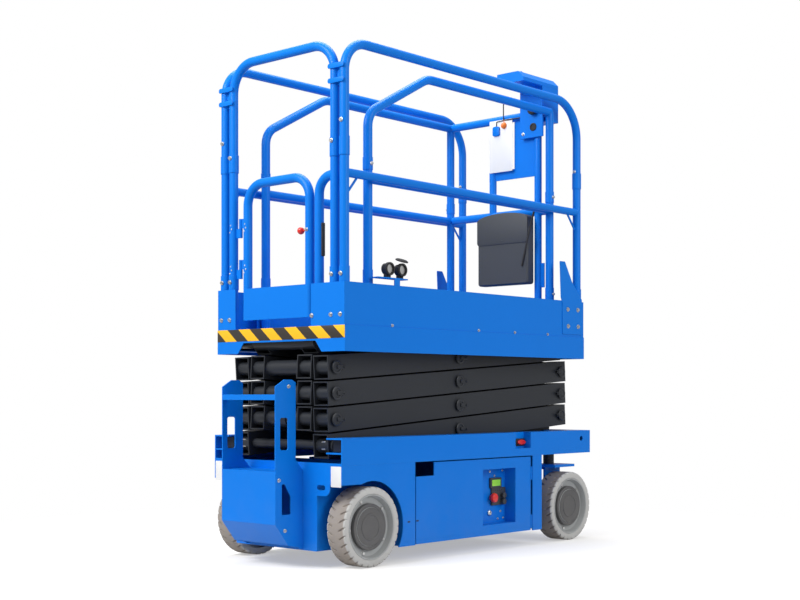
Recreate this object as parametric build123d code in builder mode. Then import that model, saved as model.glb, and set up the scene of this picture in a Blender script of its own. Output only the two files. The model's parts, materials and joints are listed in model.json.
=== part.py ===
"""Self-propelled narrow electric scissor lift, stowed, with its roll-out deck closed."""

import os
from math import asin, cos, degrees, radians, sin

from build123d import *

# Overall places along the machine: +X forward, +Y left, +Z up, ground at Z = 0.
WIDTH = 760.0
CHASSIS_REAR = -781.0
LADDER_REAR = CHASSIS_REAR - 149
CHASSIS_FRONT = 928.0
PLATFORM_REAR = -766.0
PLATFORM_FRONT = 877.0
REAR_AXLE = -610.0
FRONT_AXLE = 768.0
HALF = WIDTH / 2

# Wheels.
TYRE_DIAMETER = 323.0
TYRE_WIDTH = 100.0
RIM_DIAMETER = 262.0
HUB_DRUM_DIAMETER = 186.0
HUB_CAP_DIAMETER = 158.0
TREAD_SLOTS = 24
SLOT_WIDTH = 7.0
SLOT_LENGTH = 30.0
SLOT_DEPTH = 6.0
SLOT_SLANT = 20.0
AXLE_HEIGHT = TYRE_DIAMETER / 2
WHEEL_Y = HALF - TYRE_WIDTH / 2
SPINDLE_R = 22.0
WHEEL_FIT = 0.05

# Chassis.
CHASSIS_TOP = 518.0
BEAM_BOTTOM = 411.0
BELLY = 68.0
SKIN = 6.0
ARCH_RADIUS = 184.0
SIDE_FRONT = 534.0
SPINE_Y = 84.0
CHANNEL_OPEN_Y = HALF - 89
CHANNEL_WALL = 6.0
CHANNEL_FRONT = 150.0
TAIL_Y = HALF - 140
TAIL_TOP = 420.0
NOTCH_REAR = 334.0
NOTCH_FRONT = 449.0
NOTCH_BOTTOM = 446.0
NOTCH_DEPTH = 40.0
LUG_Y = 262.0
LUG_Z = 322.0
LUG_LENGTH = 100.0
LUG_HEIGHT = 66.0
LUG_SLOT = 46.0
LUG_SLOT_HEIGHT = 20.0

# Trays that swing out of the chassis sides.
DOOR_REAR = -346.0
DOOR_FRONT = 459.0
DOOR_TOP = 406.0
DOOR_GAP = 5.0
HINGE_R = 4.5
HINGE_Y = HALF - HINGE_R
HINGE_LOW = 110.0
HINGE_HIGH = 330.0
HINGE_LENGTH = 30.0
HINGE_LEAF = 3.0
DOOR_SKIN = 5.0
TRAY_DEPTH = 270.0

# Scissor stack.
LEVELS = 4
PIN_FRONT_X = 828.0
BASE_PIN_Z = 486.5
ARM_LENGTH = 1546.5
LEVEL_PITCH = 104.5
ARM_HEIGHT = 97.0
ARM_WIDTH = 84.0
ARM_WALL = 5.0
ARM_OVERHANG = 40.0
INNER_ARM_Y = 139.0
ARM_GAP = 12.0
OUTER_ARM_Y = INNER_ARM_Y + ARM_WIDTH + ARM_GAP
PIN_R = 20.0
PIN_FIT = 0.05
BOSS_R = 31.0
REST_ANGLE = degrees(asin(LEVEL_PITCH / ARM_LENGTH))
REACH = ARM_LENGTH * cos(radians(REST_ANGLE))
PIN_REAR_X = PIN_FRONT_X - REACH

# Slide blocks.
BLOCK_HEIGHT = 46.0
BLOCK_LENGTH = 62.0
BLOCK_IN = CHANNEL_OPEN_Y + 5
BLOCK_OUT = HALF - SKIN - 5
BLOCK_SHAFT_SHORT = 12.0

# Lift cylinder.
BARREL_R = 45.0
ROD_R = 25.0
EYE_R = 36.0
EYE_WIDTH = 44.0
EAR_THICK = 12.0
EAR_GAP = 3.0

# Platform.
SKIRT_BOTTOM = 860.0
DECK_TOP = 963.0
TOE_TOP = 1133.0
TOE_INSET = 3.0
SHEET = 4.0
TUBE_R = 19.0
MID_R = 17.5
RAIL_TOP = 2084.0
MID_RAIL = 1563.0
SEAT = 0.3
RAIL_Y = HALF - TOE_INSET - SHEET - TUBE_R - SEAT
HOOP_GAP = 13.7
EXT_GAP = 10.7
RAIL_REAR = PLATFORM_REAR + SHEET + TUBE_R + SEAT
RAIL_FRONT = PLATFORM_FRONT - SHEET - TUBE_R
FOOT_Z = DECK_TOP + SEAT
HOOP_X = RAIL_REAR
HOOP_Y = RAIL_Y - 2 * TUBE_R - HOOP_GAP

# Roll-out deck.
EXT_Y = RAIL_Y - 2 * TUBE_R - EXT_GAP
EXT_REAR = -557.0
EXT_FRONT = 700.0
EXT_DECK_REAR = -590.0
EXT_DECK_FRONT = 850.0
EXT_KNEE_Z = 1830.0
EXT_TOP_Z = 2030.0
EXT_TOP_X = -190.0

# Entry gate.
GATE_LEFT = 212.0
GATE_RIGHT = -160.0
GATE_TOP = 1570.0
GATE_X = RAIL_REAR
GATE_HINGE_Y = 257.0
ARCH_FLAT = 335.0
CHANNEL_HALF = 25.5
WELL_FRONT = -415.0
WELL_TOP = 411.0
SPINE_TOP = 400.0
BRAKE_Y = HALF - 84
BRAKE_R = 60.0
SPINDLE_END = WHEEL_Y + 18.0
EAR_HALF = 30.0
BASE_EAR = 14.0
BASE_EAR_Y = 184.0
PLATFORM_EAR_Y = 281.0
PIN_HEAD = 8.0
COLLAR_R = 30.0
SHORT_OVERHANG = 20.0
END_CHAMFER = 12.0
HEEL_CHAMFER = 26.0

TIE_DOWN_X = 855.0
TIE_DOWN_Z = 480.0
TIE_DOWN_R = 12.0

# Steering.
KINGPIN_Y = HALF - 130
KINGPIN_R = 20.0
KINGPIN_BOTTOM = 331.0
HEAD_R = 26.0
YOKE_Z = 345.0
YOKE_PLATE = 12.0
YOKE_HALF = 80.0
YOKE_INNER = HALF - 175
YOKE_OUTER = HALF - 35
YOKE_BOSS_R = 36.0
LEG_Y = HALF - 118
LEG_PLATE = 12.0
LEG_HALF = 60.0
LEG_BOTTOM = 100.0
DRIVE_Y = HALF - 175
DRIVE_R = 62.0
STEER_PIN_X = FRONT_AXLE - 110.0
STEER_PIN_R = 9.0
TIE_Z = 372.0
TIE_R = 11.0
TIE_EYE_R = 22.0
TIE_EYE_Z = 20.0

# Trays.
DOOR_BOTTOM = 70.0
POCKET_FRONT = -226.0
POCKET_BOTTOM = 350.0
RECESS_REAR = 104.0
RECESS_FRONT = 339.0
RECESS_BOTTOM = 115.0
RECESS_TOP = 360.0
RECESS_DEPTH = 55.0
TRAY_REAR = -297.0
PACK_REAR = -280.0
PACK_FRONT = 90.0
PACK_OUTER = HALF - 30
PACK_INNER = 120.0
PACK_TOP = 330.0

# Ladder.
LADDER_Y = 160.0
LADDER_PLATE = 5.0
LADDER_FOOT = 178.0
LADDER_NECK = CHASSIS_REAR - 40
LADDER_SHOULDER = 721.0
LADDER_TOP = 749.0
LADDER_PEAK_REAR = CHASSIS_REAR - 101
LADDER_PEAK_FRONT = CHASSIS_REAR - 61
NECK_BOTTOM = 430.0
APRON_FRONT = CHASSIS_REAR - 81
APRON_BOTTOM = 92.0
GRIP_REAR = CHASSIS_REAR - 124
GRIP_FRONT = CHASSIS_REAR - 81
GRIP_LOW = 470.0
GRIP_HIGH = 598.0
WINDOW_REAR = CHASSIS_REAR - 115
WINDOW_FRONT = CHASSIS_REAR - 68
WINDOW_LOW = 215.0
WINDOW_HIGH = 336.0
WINDOW_SLOPE = 50.0
TOP_STEP_Z = 690.0
STEP_DEPTH = 26.0
STEP_THICK = 22.0
TREAD_Z = 387.0

# Cylinder.
CYLINDER_TOP_LEVEL = 3
CYLINDER_TOP_SHARE = 0.2
TOP_EAR_U = ARM_LENGTH * (0.5 - CYLINDER_TOP_SHARE)
EAR_Y = 31.0
EAR_DROP = 28.0
EAR_RISE = 82.0
CROSS_R = 25.0
CHEEK_IN = 80.0
CHEEK_OUT = 90.0
GLAND_GAP = 45.0
BARREL_FLOOR_SHARE = 0.45
ROD_CLEARANCE = 40.0

# Platform details.
CUT_LOW_Y = 250.0
CUT_TOP_Y = 215.0
CUT_TOP = 905.0
GATE_GAP = 30.0
STUB_TOP = 1560.0
STUB_RIGHT = -214.0
STUB_BEND = 70.0
GATE_FOOT = 1000.0
GATE_HINGES = (1218.0, 1391.0)
GATE_KNUCKLE = 40.0
GATE_HINGE_R = 8.0
GATE_BEND = 90.0
RAIL_BEND_REAR = 120.0
RAIL_BEND_FRONT = 170.0
EXT_BEND_LOW = 90.0
EXT_BEND_TOP = 120.0
CORNER_REAR = 700.0
CORNER_FRONT = 860.0
CORNER_LOW = 975.0
CORNER_KNEE = 778.0
CORNER_KNEE_Z = 1224.0
CORNER_TOP = 1317.0
CORNER_TOP_REAR = 679.0
CORNER_TOP_FRONT = 720.0
COLLAR_TUBE_R = 21.5
SOCKET_TOP = 1195.0
REAR_JOINT = 1630.0
FRONT_JOINT = 1676.0
JOINT_LENGTH = 74.0
HOOP_TIE_LOW = 1908.0
HOOP_TIE_HIGH = 1980.0
TIE_HALF = 6.0
EXT_COLLAR_R = 21.0
EXT_JOINT = 1600.0
EXT_JOINT_LENGTH = 50.0

# Front rail panel, mast and gusset.
PANEL_LEFT = 55.0
PANEL_RIGHT = -252.0
PANEL_BOTTOM = 1735.0
PANEL_STEP = 1783.0
PANEL_NOTCH = -99.0
PANEL_HALF = 2.5
HANGER_Y = 34.0
MAST_Y = -238.0
GUSSET_LOW = 1200.0
GUSSET_HIGH = 1316.0

# Console and document box.
SADDLE_BOTTOM = 1916.0
SADDLE_PLATE = 9.0
CONSOLE_BOTTOM = 1994.0
CONSOLE_FRONT = 800.0
CONSOLE_RIGHT = -284.0
CONSOLE_LEFT = -152.0
HEAD_REAR = 520.0
HEAD_BOTTOM = 2153.0
HEAD_TOP = 2202.0
HEAD_LEFT = -130.0
HEAD_SLOPE = 30.0
HEAD_CORNER = 4.0
BOX_LEFT = 72.0
BOX_RIGHT = -232.0
BOX_BOTTOM = 1215.0
BOX_SHOULDER = 1530.0
BOX_DEPTH = 60.0
BOX_CORNER = 12.0
EXT_SIDE = EXT_Y + TUBE_R + SEAT + SHEET

os.makedirs("parts", exist_ok=True)


def save(part, name):
    """Label one finished piece and write it."""
    part.label = name
    export_step(part, f"parts/{name}.step")


def pin_z(level):
    """Height of the pins below (0) or above the levels at rest."""
    return BASE_PIN_Z + level * LEVEL_PITCH


def tube(points, radii, radius=TUBE_R):
    """Round bar along straight runs joined by arcs."""
    with BuildPart() as bar:
        with BuildLine() as path:
            if len(points) > 2:
                FilletPolyline(*points, radius=radii)
            else:
                Line(*points)
        with BuildSketch(Plane(origin=path.line @ 0, z_dir=path.line % 0)):
            Circle(radius)
        sweep(path=path.line)
    return bar.part


# Tyres and rims, one set for each corner.
def build_wheel(name, x, side):
    """One moulded tyre with slanted slots at both shoulders, and one dished rim with its bore."""
    half = TYRE_WIDTH / 2
    middle = side * WHEEL_Y
    with BuildPart() as tyre:
        with BuildSketch(Plane(origin=(x, middle - half, AXLE_HEIGHT), x_dir=(1, 0, 0), z_dir=(0, -1, 0))) as band:
            RegularPolygon(TYRE_DIAMETER / 2, 2 * TREAD_SLOTS)
            Circle(RIM_DIAMETER / 2, mode=Mode.SUBTRACT)
        extrude(band.sketch, amount=-TYRE_WIDTH)
        slots = []
        for face in (1, -1):
            slant = radians(face * SLOT_SLANT)
            for index in range(TREAD_SLOTS):
                turn = radians((index + 0.5 - 0.25 * face) * 360 / TREAD_SLOTS)
                outward = Vector(cos(turn), 0, sin(turn))
                tangent = Vector(-sin(turn), 0, cos(turn))
                origin = Vector(x, middle + face * half, AXLE_HEIGHT) + outward * (TYRE_DIAMETER / 2)
                across = tangent * cos(slant) - Vector(0, 1, 0) * sin(slant)
                slots.append(Plane(origin=origin, x_dir=across, z_dir=outward))
        with Locations(*slots):
            Box(SLOT_WIDTH, 2 * SLOT_LENGTH, 2 * SLOT_DEPTH, mode=Mode.SUBTRACT)
    save(tyre.part, f"{name}_tyre")
    with BuildPart() as rim:
        with BuildSketch(Plane(origin=(x, middle, AXLE_HEIGHT), x_dir=(1, 0, 0), z_dir=(0, 0, 1))):
            with BuildLine():
                Polyline(
                    (SPINDLE_R + WHEEL_FIT, side * -half * 0.5), (RIM_DIAMETER / 2 - 0.1, side * -half * 0.5),
                    (RIM_DIAMETER / 2 - 0.1, side * (half - 2)), (RIM_DIAMETER / 2 - 5, side * (half - 2)),
                    (RIM_DIAMETER / 2 - 13, side * (half - 26)), (HUB_DRUM_DIAMETER / 2, side * (half - 29)),
                    (HUB_DRUM_DIAMETER / 2, side * (half - 16)), (HUB_DRUM_DIAMETER / 2 - 3, side * (half - 13)),
                    (HUB_CAP_DIAMETER / 2, side * (half - 13)), (HUB_CAP_DIAMETER / 2 - 2, side * (half - 10)),
                    (0, side * (half - 10)), (0, side * (half - 30)), (SPINDLE_R + WHEEL_FIT, side * (half - 30)),
                    close=True,
                )
            make_face()
        revolve(axis=Axis((x, middle, AXLE_HEIGHT), (0, 1, 0)))
    save(rim.part, f"{name}_rim")


for end, x in (("rear", REAR_AXLE), ("front", FRONT_AXLE)):
    for hand, side in (("left", 1), ("right", -1)):
        build_wheel(f"{end}_{hand}", x, side)

# Extruded outlines: each adds one plate or block to the piece being made.
def profile_xz(points, y0, y1, mode=Mode.ADD, corner=0):
    """Plate seen from the side, from y0 up to y1, with its corners rounded to that radius."""
    with BuildSketch(Plane(origin=(0, y0, 0), x_dir=(1, 0, 0), z_dir=(0, -1, 0))) as outline:
        with BuildLine():
            Polyline(*points, close=True)
        make_face()
        if corner:
            fillet(outline.vertices(), radius=corner)
    extrude(outline.sketch, amount=-(y1 - y0), mode=mode)


def profile_yz(points, x0, x1, mode=Mode.ADD):
    """Plate seen from behind, from x0 up to x1."""
    with BuildSketch(Plane.YZ.offset(x0)) as outline:
        with BuildLine():
            Polyline(*points, close=True)
        make_face()
    extrude(outline.sketch, amount=x1 - x0, mode=mode)


def slab(x0, x1, y0, y1, z0, z1, mode=Mode.ADD):
    """Flat plate or bar between two corners."""
    with Locations(((x0 + x1) / 2, (y0 + y1) / 2, (z0 + z1) / 2)):
        Box(abs(x1 - x0), abs(y1 - y0), abs(z1 - z0), mode=mode)


def rod(x, z, y0, y1, radius, mode=Mode.ADD):
    """Round bar across the machine, from y0 to y1."""
    with BuildSketch(Plane(origin=(x, y0, z), x_dir=(1, 0, 0), z_dir=(0, -1, 0))) as disc:
        Circle(radius)
    extrude(disc.sketch, amount=-(y1 - y0), mode=mode)


def post(x, y, z0, z1, radius, mode=Mode.ADD):
    """Upright round bar from z0 up to z1."""
    with BuildSketch(Plane.XY.offset(z0)) as disc:
        with Locations((x, y)):
            Circle(radius)
    extrude(disc.sketch, amount=z1 - z0, mode=mode)


# Chassis centre: a belly spine between two cross walls.
with BuildPart() as chassis:
    for side in (1, -1):
        inner = side * (HALF - SKIN)
        slab(WELL_FRONT - SKIN, WELL_FRONT, side * SPINE_Y, inner, BELLY, WELL_TOP)
        slab(SIDE_FRONT - SKIN, SIDE_FRONT, side * SPINE_Y, inner, BELLY, BEAM_BOTTOM)
        slab(WELL_FRONT, SIDE_FRONT, side * SPINE_Y, side * (SPINE_Y - SKIN), BELLY, SPINE_TOP)
    slab(WELL_FRONT - SKIN, SIDE_FRONT, -SPINE_Y, SPINE_Y, BELLY, BELLY + SKIN)
    slab(WELL_FRONT - SKIN, SIDE_FRONT, -SPINE_Y, SPINE_Y, SPINE_TOP - SKIN, SPINE_TOP)
    slab(WELL_FRONT - SKIN, WELL_FRONT, -SPINE_Y, SPINE_Y, BELLY, WELL_TOP)
save(chassis.part, "chassis_frame")

# Chassis sides: beam with its tie-down hole and lamp notch, slide track, wheel-arch skin and hinge post.
for hand, side in (("left", 1), ("right", -1)):
    near, far = sorted((side * (HALF - SKIN), side * HALF))
    inner = side * (HALF - SKIN)
    opening = side * CHANNEL_OPEN_Y
    floor = BASE_PIN_Z - CHANNEL_HALF
    with BuildPart() as side_frame:
        slab(CHASSIS_REAR, CHASSIS_FRONT, near, far, BEAM_BOTTOM, CHASSIS_TOP)
        slab(NOTCH_REAR, NOTCH_FRONT, near, far, NOTCH_BOTTOM, CHASSIS_TOP, mode=Mode.SUBTRACT)
        rod(TIE_DOWN_X, TIE_DOWN_Z, near, far, TIE_DOWN_R, mode=Mode.SUBTRACT)
    save(side_frame.part, f"{hand}_side_frame")
    with BuildPart() as flange:
        slab(CHASSIS_REAR, CHASSIS_FRONT - SKIN, opening, inner, CHASSIS_TOP - CHANNEL_WALL, CHASSIS_TOP)
        slab(
            NOTCH_REAR - SHEET, NOTCH_FRONT + SHEET, side * (HALF - NOTCH_DEPTH - SHEET), inner,
            CHASSIS_TOP - CHANNEL_WALL, CHASSIS_TOP, mode=Mode.SUBTRACT,
        )
    save(flange.part, f"{hand}_top_flange")
    with BuildPart() as notch:
        slab(
            NOTCH_REAR - SHEET, NOTCH_FRONT + SHEET, side * (HALF - NOTCH_DEPTH - SHEET), inner,
            NOTCH_BOTTOM - SHEET, CHASSIS_TOP,
        )
        slab(
            NOTCH_REAR, NOTCH_FRONT, side * (HALF - NOTCH_DEPTH), inner,
            NOTCH_BOTTOM, CHASSIS_TOP, mode=Mode.SUBTRACT,
        )
    save(notch.part, f"{hand}_lamp_notch")
    with BuildPart() as track:
        slab(CHASSIS_REAR, CHANNEL_FRONT, opening, inner, floor - CHANNEL_WALL, floor)
    save(track.part, f"{hand}_slide_track")
    with BuildPart() as rear_skin:
        slab(CHASSIS_REAR, DOOR_REAR - DOOR_GAP, near, far, BELLY, BEAM_BOTTOM)
        rod(REAR_AXLE, AXLE_HEIGHT, near, far, ARCH_RADIUS, mode=Mode.SUBTRACT)
        slab(CHASSIS_REAR, REAR_AXLE, near, far, BELLY, ARCH_FLAT, mode=Mode.SUBTRACT)
    save(rear_skin.part, f"{hand}_rear_skin")
    with BuildPart() as front_post:
        slab(DOOR_FRONT + DOOR_GAP, SIDE_FRONT, near, far, BELLY, BEAM_BOTTOM)
        for z in (HINGE_LOW, HINGE_HIGH):
            post(DOOR_FRONT, side * HINGE_Y, z - HINGE_LENGTH, z, HINGE_R)
            leaf = side * (HINGE_Y - HINGE_LEAF)
            slab(DOOR_FRONT, DOOR_FRONT + DOOR_GAP + 1, side * HINGE_Y, leaf, z - HINGE_LENGTH, z)
    save(front_post.part, f"{hand}_front_post")

# Tail: box between the rear wheels, wheel-well tops, rear spindles with their brakes, and slotted lugs.
with BuildPart() as tail:
    for side in (1, -1):
        inner = side * (HALF - SKIN)
        slab(CHASSIS_REAR, WELL_FRONT - SKIN, side * TAIL_Y, side * (TAIL_Y - SKIN), BELLY, WELL_TOP)
        slab(CHASSIS_REAR, WELL_FRONT - SKIN, side * (TAIL_Y - SKIN), inner, WELL_TOP - SKIN, WELL_TOP)
        rod(REAR_AXLE, AXLE_HEIGHT, side * (TAIL_Y - SKIN), side * BRAKE_Y, BRAKE_R)
        rod(REAR_AXLE, AXLE_HEIGHT, side * (TAIL_Y - SKIN), side * SPINDLE_END, SPINDLE_R)
    profile_yz(
        [
            (-HALF + SKIN, ARCH_FLAT), (-TAIL_Y, ARCH_FLAT), (-TAIL_Y, BELLY), (TAIL_Y, BELLY), (TAIL_Y, ARCH_FLAT),
            (HALF - SKIN, ARCH_FLAT), (HALF - SKIN, TAIL_TOP), (-HALF + SKIN, TAIL_TOP),
        ],
        CHASSIS_REAR, CHASSIS_REAR + SKIN,
    )
    for length, height, mode in ((LUG_LENGTH, LUG_HEIGHT, Mode.ADD), (LUG_SLOT, LUG_SLOT_HEIGHT, Mode.SUBTRACT)):
        with BuildSketch(Plane.YZ.offset(CHASSIS_REAR)) as lug:
            with Locations((-LUG_Y, LUG_Z), (LUG_Y, LUG_Z)):
                SlotOverall(length, height)
        extrude(lug.sketch, amount=SKIN, mode=mode)
    slab(CHASSIS_REAR + SKIN, WELL_FRONT - SKIN, -TAIL_Y + SKIN, TAIL_Y - SKIN, BELLY, BELLY + SKIN)
save(tail.part, "tail_frame")

# Front: axle plate, end wall, the ears and shaft of the first arm, and the kingpins below.
with BuildPart() as front:
    for side in (1, -1):
        y0, y1 = sorted((side * BASE_EAR_Y, side * (BASE_EAR_Y + BASE_EAR)))
        profile_xz(
            [
                (PIN_FRONT_X - EAR_HALF, BEAM_BOTTOM), (PIN_FRONT_X + EAR_HALF, BEAM_BOTTOM),
                (PIN_FRONT_X + EAR_HALF * 0.7, CHASSIS_TOP), (PIN_FRONT_X - EAR_HALF * 0.7, CHASSIS_TOP),
            ],
            y0, y1,
        )
    slab(SIDE_FRONT - SKIN, CHASSIS_FRONT, -HALF + SKIN, HALF - SKIN, BEAM_BOTTOM, BEAM_BOTTOM + SKIN)
    slab(CHASSIS_FRONT - SKIN, CHASSIS_FRONT, -HALF + SKIN, HALF - SKIN, BEAM_BOTTOM, CHASSIS_TOP)
    rod(PIN_FRONT_X, BASE_PIN_Z, -BASE_EAR_Y - BASE_EAR, BASE_EAR_Y + BASE_EAR, PIN_R)
save(front.part, "front_frame")
with BuildPart() as kingpins:
    for side in (1, -1):
        post(FRONT_AXLE, side * KINGPIN_Y, KINGPIN_BOTTOM, BEAM_BOTTOM, KINGPIN_R)
        post(FRONT_AXLE, side * KINGPIN_Y, YOKE_Z + YOKE_PLATE + SEAT, BEAM_BOTTOM, HEAD_R)
save(kingpins.part, "kingpins")

# Entry ladder: two side plates, a top bar, a tread and a rear panel over a sloped apron.
with BuildPart() as ladder:
    for side in (1, -1):
        y0, y1 = sorted((side * LADDER_Y, side * (LADDER_Y - LADDER_PLATE)))
        profile_xz(
            [
                (LADDER_REAR, LADDER_FOOT), (LADDER_REAR, LADDER_SHOULDER), (LADDER_PEAK_REAR, LADDER_TOP),
                (LADDER_PEAK_FRONT, LADDER_TOP), (LADDER_NECK, LADDER_TOP - 11), (LADDER_NECK, NECK_BOTTOM),
                (CHASSIS_REAR, TREAD_Z), (CHASSIS_REAR, BELLY + SKIN), (APRON_FRONT, APRON_BOTTOM),
            ],
            y0, y1, corner=5,
        )
        slab(CHASSIS_REAR - 20, CHASSIS_REAR, y0, y1, BELLY + SKIN, TREAD_Z - 10)
        profile_xz(
            [(GRIP_REAR, GRIP_LOW), (GRIP_FRONT, GRIP_LOW), (GRIP_FRONT, GRIP_HIGH), (GRIP_REAR, GRIP_HIGH)],
            y0, y1, mode=Mode.SUBTRACT, corner=9,
        )
        profile_xz(
            [
                (WINDOW_REAR, WINDOW_LOW), (WINDOW_FRONT, WINDOW_LOW), (WINDOW_FRONT, WINDOW_HIGH - WINDOW_SLOPE),
                (WINDOW_REAR + 16, WINDOW_HIGH), (WINDOW_REAR, WINDOW_HIGH),
            ],
            y0, y1, mode=Mode.SUBTRACT, corner=5,
        )
    slab(LADDER_REAR, LADDER_REAR + STEP_DEPTH, -LADDER_Y, LADDER_Y, TOP_STEP_Z - STEP_THICK, TOP_STEP_Z)
    slab(LADDER_REAR, CHASSIS_REAR, -LADDER_Y + 1, LADDER_Y - 1, TREAD_Z - LADDER_PLATE, TREAD_Z)
    slab(LADDER_REAR, LADDER_REAR + LADDER_PLATE, -LADDER_Y + 1, LADDER_Y - 1, LADDER_FOOT, TREAD_Z)
    profile_xz(
        [
            (LADDER_REAR, LADDER_FOOT), (APRON_FRONT, APRON_BOTTOM), (APRON_FRONT + 4, APRON_BOTTOM + 3),
            (LADDER_REAR + LADDER_PLATE, LADDER_FOOT + LADDER_PLATE),
        ],
        -LADDER_Y + 1, LADDER_Y - 1,
    )
save(ladder.part, "entry_ladder")

# Swing-out trays, one each side, with the heavy unit each one carries.
for hand, side in (("left", 1), ("right", -1)):
    outer = side * HINGE_Y
    inner = side * (HINGE_Y - DOOR_SKIN)
    with BuildPart() as door:
        slab(DOOR_REAR + DOOR_GAP, DOOR_FRONT - DOOR_GAP, outer, inner, DOOR_BOTTOM, DOOR_TOP)
        slab(DOOR_REAR + DOOR_GAP, POCKET_FRONT, outer, inner, POCKET_BOTTOM, DOOR_TOP, mode=Mode.SUBTRACT)
        if hand == "right":
            slab(RECESS_REAR, RECESS_FRONT, outer, inner, RECESS_BOTTOM, RECESS_TOP, mode=Mode.SUBTRACT)
        for z in (HINGE_LOW, HINGE_HIGH):
            post(DOOR_FRONT, outer, z + SEAT, z + HINGE_LENGTH, HINGE_R)
            leaf = side * (HINGE_Y - HINGE_LEAF)
            slab(DOOR_FRONT - DOOR_GAP - 1, DOOR_FRONT, outer, leaf, z + SEAT, z + HINGE_LENGTH)
    save(door.part, f"{hand}_door")
    with BuildPart() as tray:
        slab(TRAY_REAR, DOOR_FRONT - DOOR_GAP, inner, side * (HALF - TRAY_DEPTH), DOOR_BOTTOM, DOOR_BOTTOM + DOOR_SKIN)
    save(tray.part, f"{hand}_tray")
    with BuildPart() as pack:
        slab(PACK_REAR, PACK_FRONT, side * PACK_OUTER, side * PACK_INNER, DOOR_BOTTOM + DOOR_SKIN, PACK_TOP)
    save(pack.part, f"{hand}_battery_pack")

with BuildPart() as controls:
    y_out = -(HINGE_Y - DOOR_SKIN - SEAT)
    slab(RECESS_REAR - 4, RECESS_FRONT + 4, y_out, y_out + RECESS_DEPTH + 4, RECESS_BOTTOM - 4, RECESS_TOP + 4)
    slab(RECESS_REAR, RECESS_FRONT, y_out, y_out + RECESS_DEPTH, RECESS_BOTTOM, RECESS_TOP, mode=Mode.SUBTRACT)
save(controls.part, "ground_control_box")

# Front wheel knuckles and the tie rod between them.
for hand, side in (("left", 1), ("right", -1)):
    with BuildPart() as knuckle:
        slab(FRONT_AXLE - YOKE_HALF, FRONT_AXLE + YOKE_HALF, side * YOKE_INNER, side * YOKE_OUTER, YOKE_Z, YOKE_Z + YOKE_PLATE)
        post(FRONT_AXLE, side * KINGPIN_Y, YOKE_Z - 14, YOKE_Z + YOKE_PLATE, YOKE_BOSS_R)
        slab(FRONT_AXLE - LEG_HALF, FRONT_AXLE + LEG_HALF, side * LEG_Y, side * (LEG_Y + LEG_PLATE), LEG_BOTTOM, YOKE_Z + 1)
        rod(FRONT_AXLE, AXLE_HEIGHT, side * LEG_Y, side * SPINDLE_END, SPINDLE_R)
        rod(FRONT_AXLE, AXLE_HEIGHT, side * DRIVE_Y, side * (LEG_Y + 1), DRIVE_R)
        slab(STEER_PIN_X - 16, FRONT_AXLE, side * (KINGPIN_Y - 18), side * (KINGPIN_Y + 18), YOKE_Z, YOKE_Z + YOKE_PLATE)
        post(STEER_PIN_X, side * KINGPIN_Y, YOKE_Z, TIE_Z + TIE_EYE_Z / 2 + 2, STEER_PIN_R)
        post(FRONT_AXLE, side * KINGPIN_Y, KINGPIN_BOTTOM - 5, BEAM_BOTTOM, KINGPIN_R + PIN_FIT, mode=Mode.SUBTRACT)
    save(knuckle.part, f"{hand}_knuckle")

with BuildPart() as tie:
    rod(STEER_PIN_X, TIE_Z, -KINGPIN_Y + TIE_EYE_R - 3, KINGPIN_Y - TIE_EYE_R + 3, TIE_R)
    for side in (1, -1):
        post(STEER_PIN_X, side * KINGPIN_Y, TIE_Z - TIE_EYE_Z / 2, TIE_Z + TIE_EYE_Z / 2, TIE_EYE_R)
        post(STEER_PIN_X, side * KINGPIN_Y, TIE_Z - TIE_EYE_Z, TIE_Z + TIE_EYE_Z, STEER_PIN_R + PIN_FIT, mode=Mode.SUBTRACT)
save(tie.part, "tie_rod")


# Scissor arms: pairs of hollow bars with through shafts, sleeves and centre pins.
def arm_plane(level, slope, y):
    """Plane along one arm at rest, its origin at the centre pin and its X forward."""
    angle = radians(slope * REST_ANGLE)
    centre = ((PIN_FRONT_X + PIN_REAR_X) / 2, y, pin_z(level) + LEVEL_PITCH / 2)
    return Plane(origin=centre, x_dir=(cos(angle), 0, sin(angle)), z_dir=(0, 1, 0))


def arm_bars(level, slope, y_mid, trim_end):
    """The two hollow bars of a pair, with bosses at the three pins."""
    half = ARM_LENGTH / 2
    for side in (1, -1):
        y0 = side * y_mid - ARM_WIDTH / 2
        start, stop = -half - ARM_OVERHANG, half + ARM_OVERHANG
        if trim_end == "front":
            stop = half + SHORT_OVERHANG
        if trim_end == "rear":
            start = -half - SHORT_OVERHANG
        for inset, mode in ((0.0, Mode.ADD), (ARM_WALL, Mode.SUBTRACT)):
            with BuildSketch(arm_plane(level, slope, y0 + inset)) as section:
                with Locations(((start + stop) / 2, 0)):
                    Rectangle(stop - start, ARM_HEIGHT - 2 * inset)
            extrude(section.sketch, amount=ARM_WIDTH - 2 * inset, mode=mode)
        if trim_end:
            corner = stop if trim_end == "front" else start
            with BuildSketch(arm_plane(level, slope, y0)) as corner_cut:
                with Locations((corner, -ARM_HEIGHT / 2)):
                    Rectangle(2 * END_CHAMFER, 2 * END_CHAMFER, rotation=45)
            extrude(corner_cut.sketch, amount=ARM_WIDTH, mode=Mode.SUBTRACT)
            with BuildSketch(arm_plane(level, slope, y0)) as heel_cut:
                with Locations((corner, ARM_HEIGHT / 2)):
                    Rectangle(HEEL_CHAMFER * 2 ** 0.5, HEEL_CHAMFER * 2 ** 0.5, rotation=45)
            extrude(heel_cut.sketch, amount=ARM_WIDTH, mode=Mode.SUBTRACT)
        with BuildSketch(arm_plane(level, slope, y0 + 1)) as bosses:
            with Locations((-half, 0), (0, 0), (half, 0)):
                Circle(BOSS_R)
        extrude(bosses.sketch, amount=ARM_WIDTH - 2)


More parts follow.
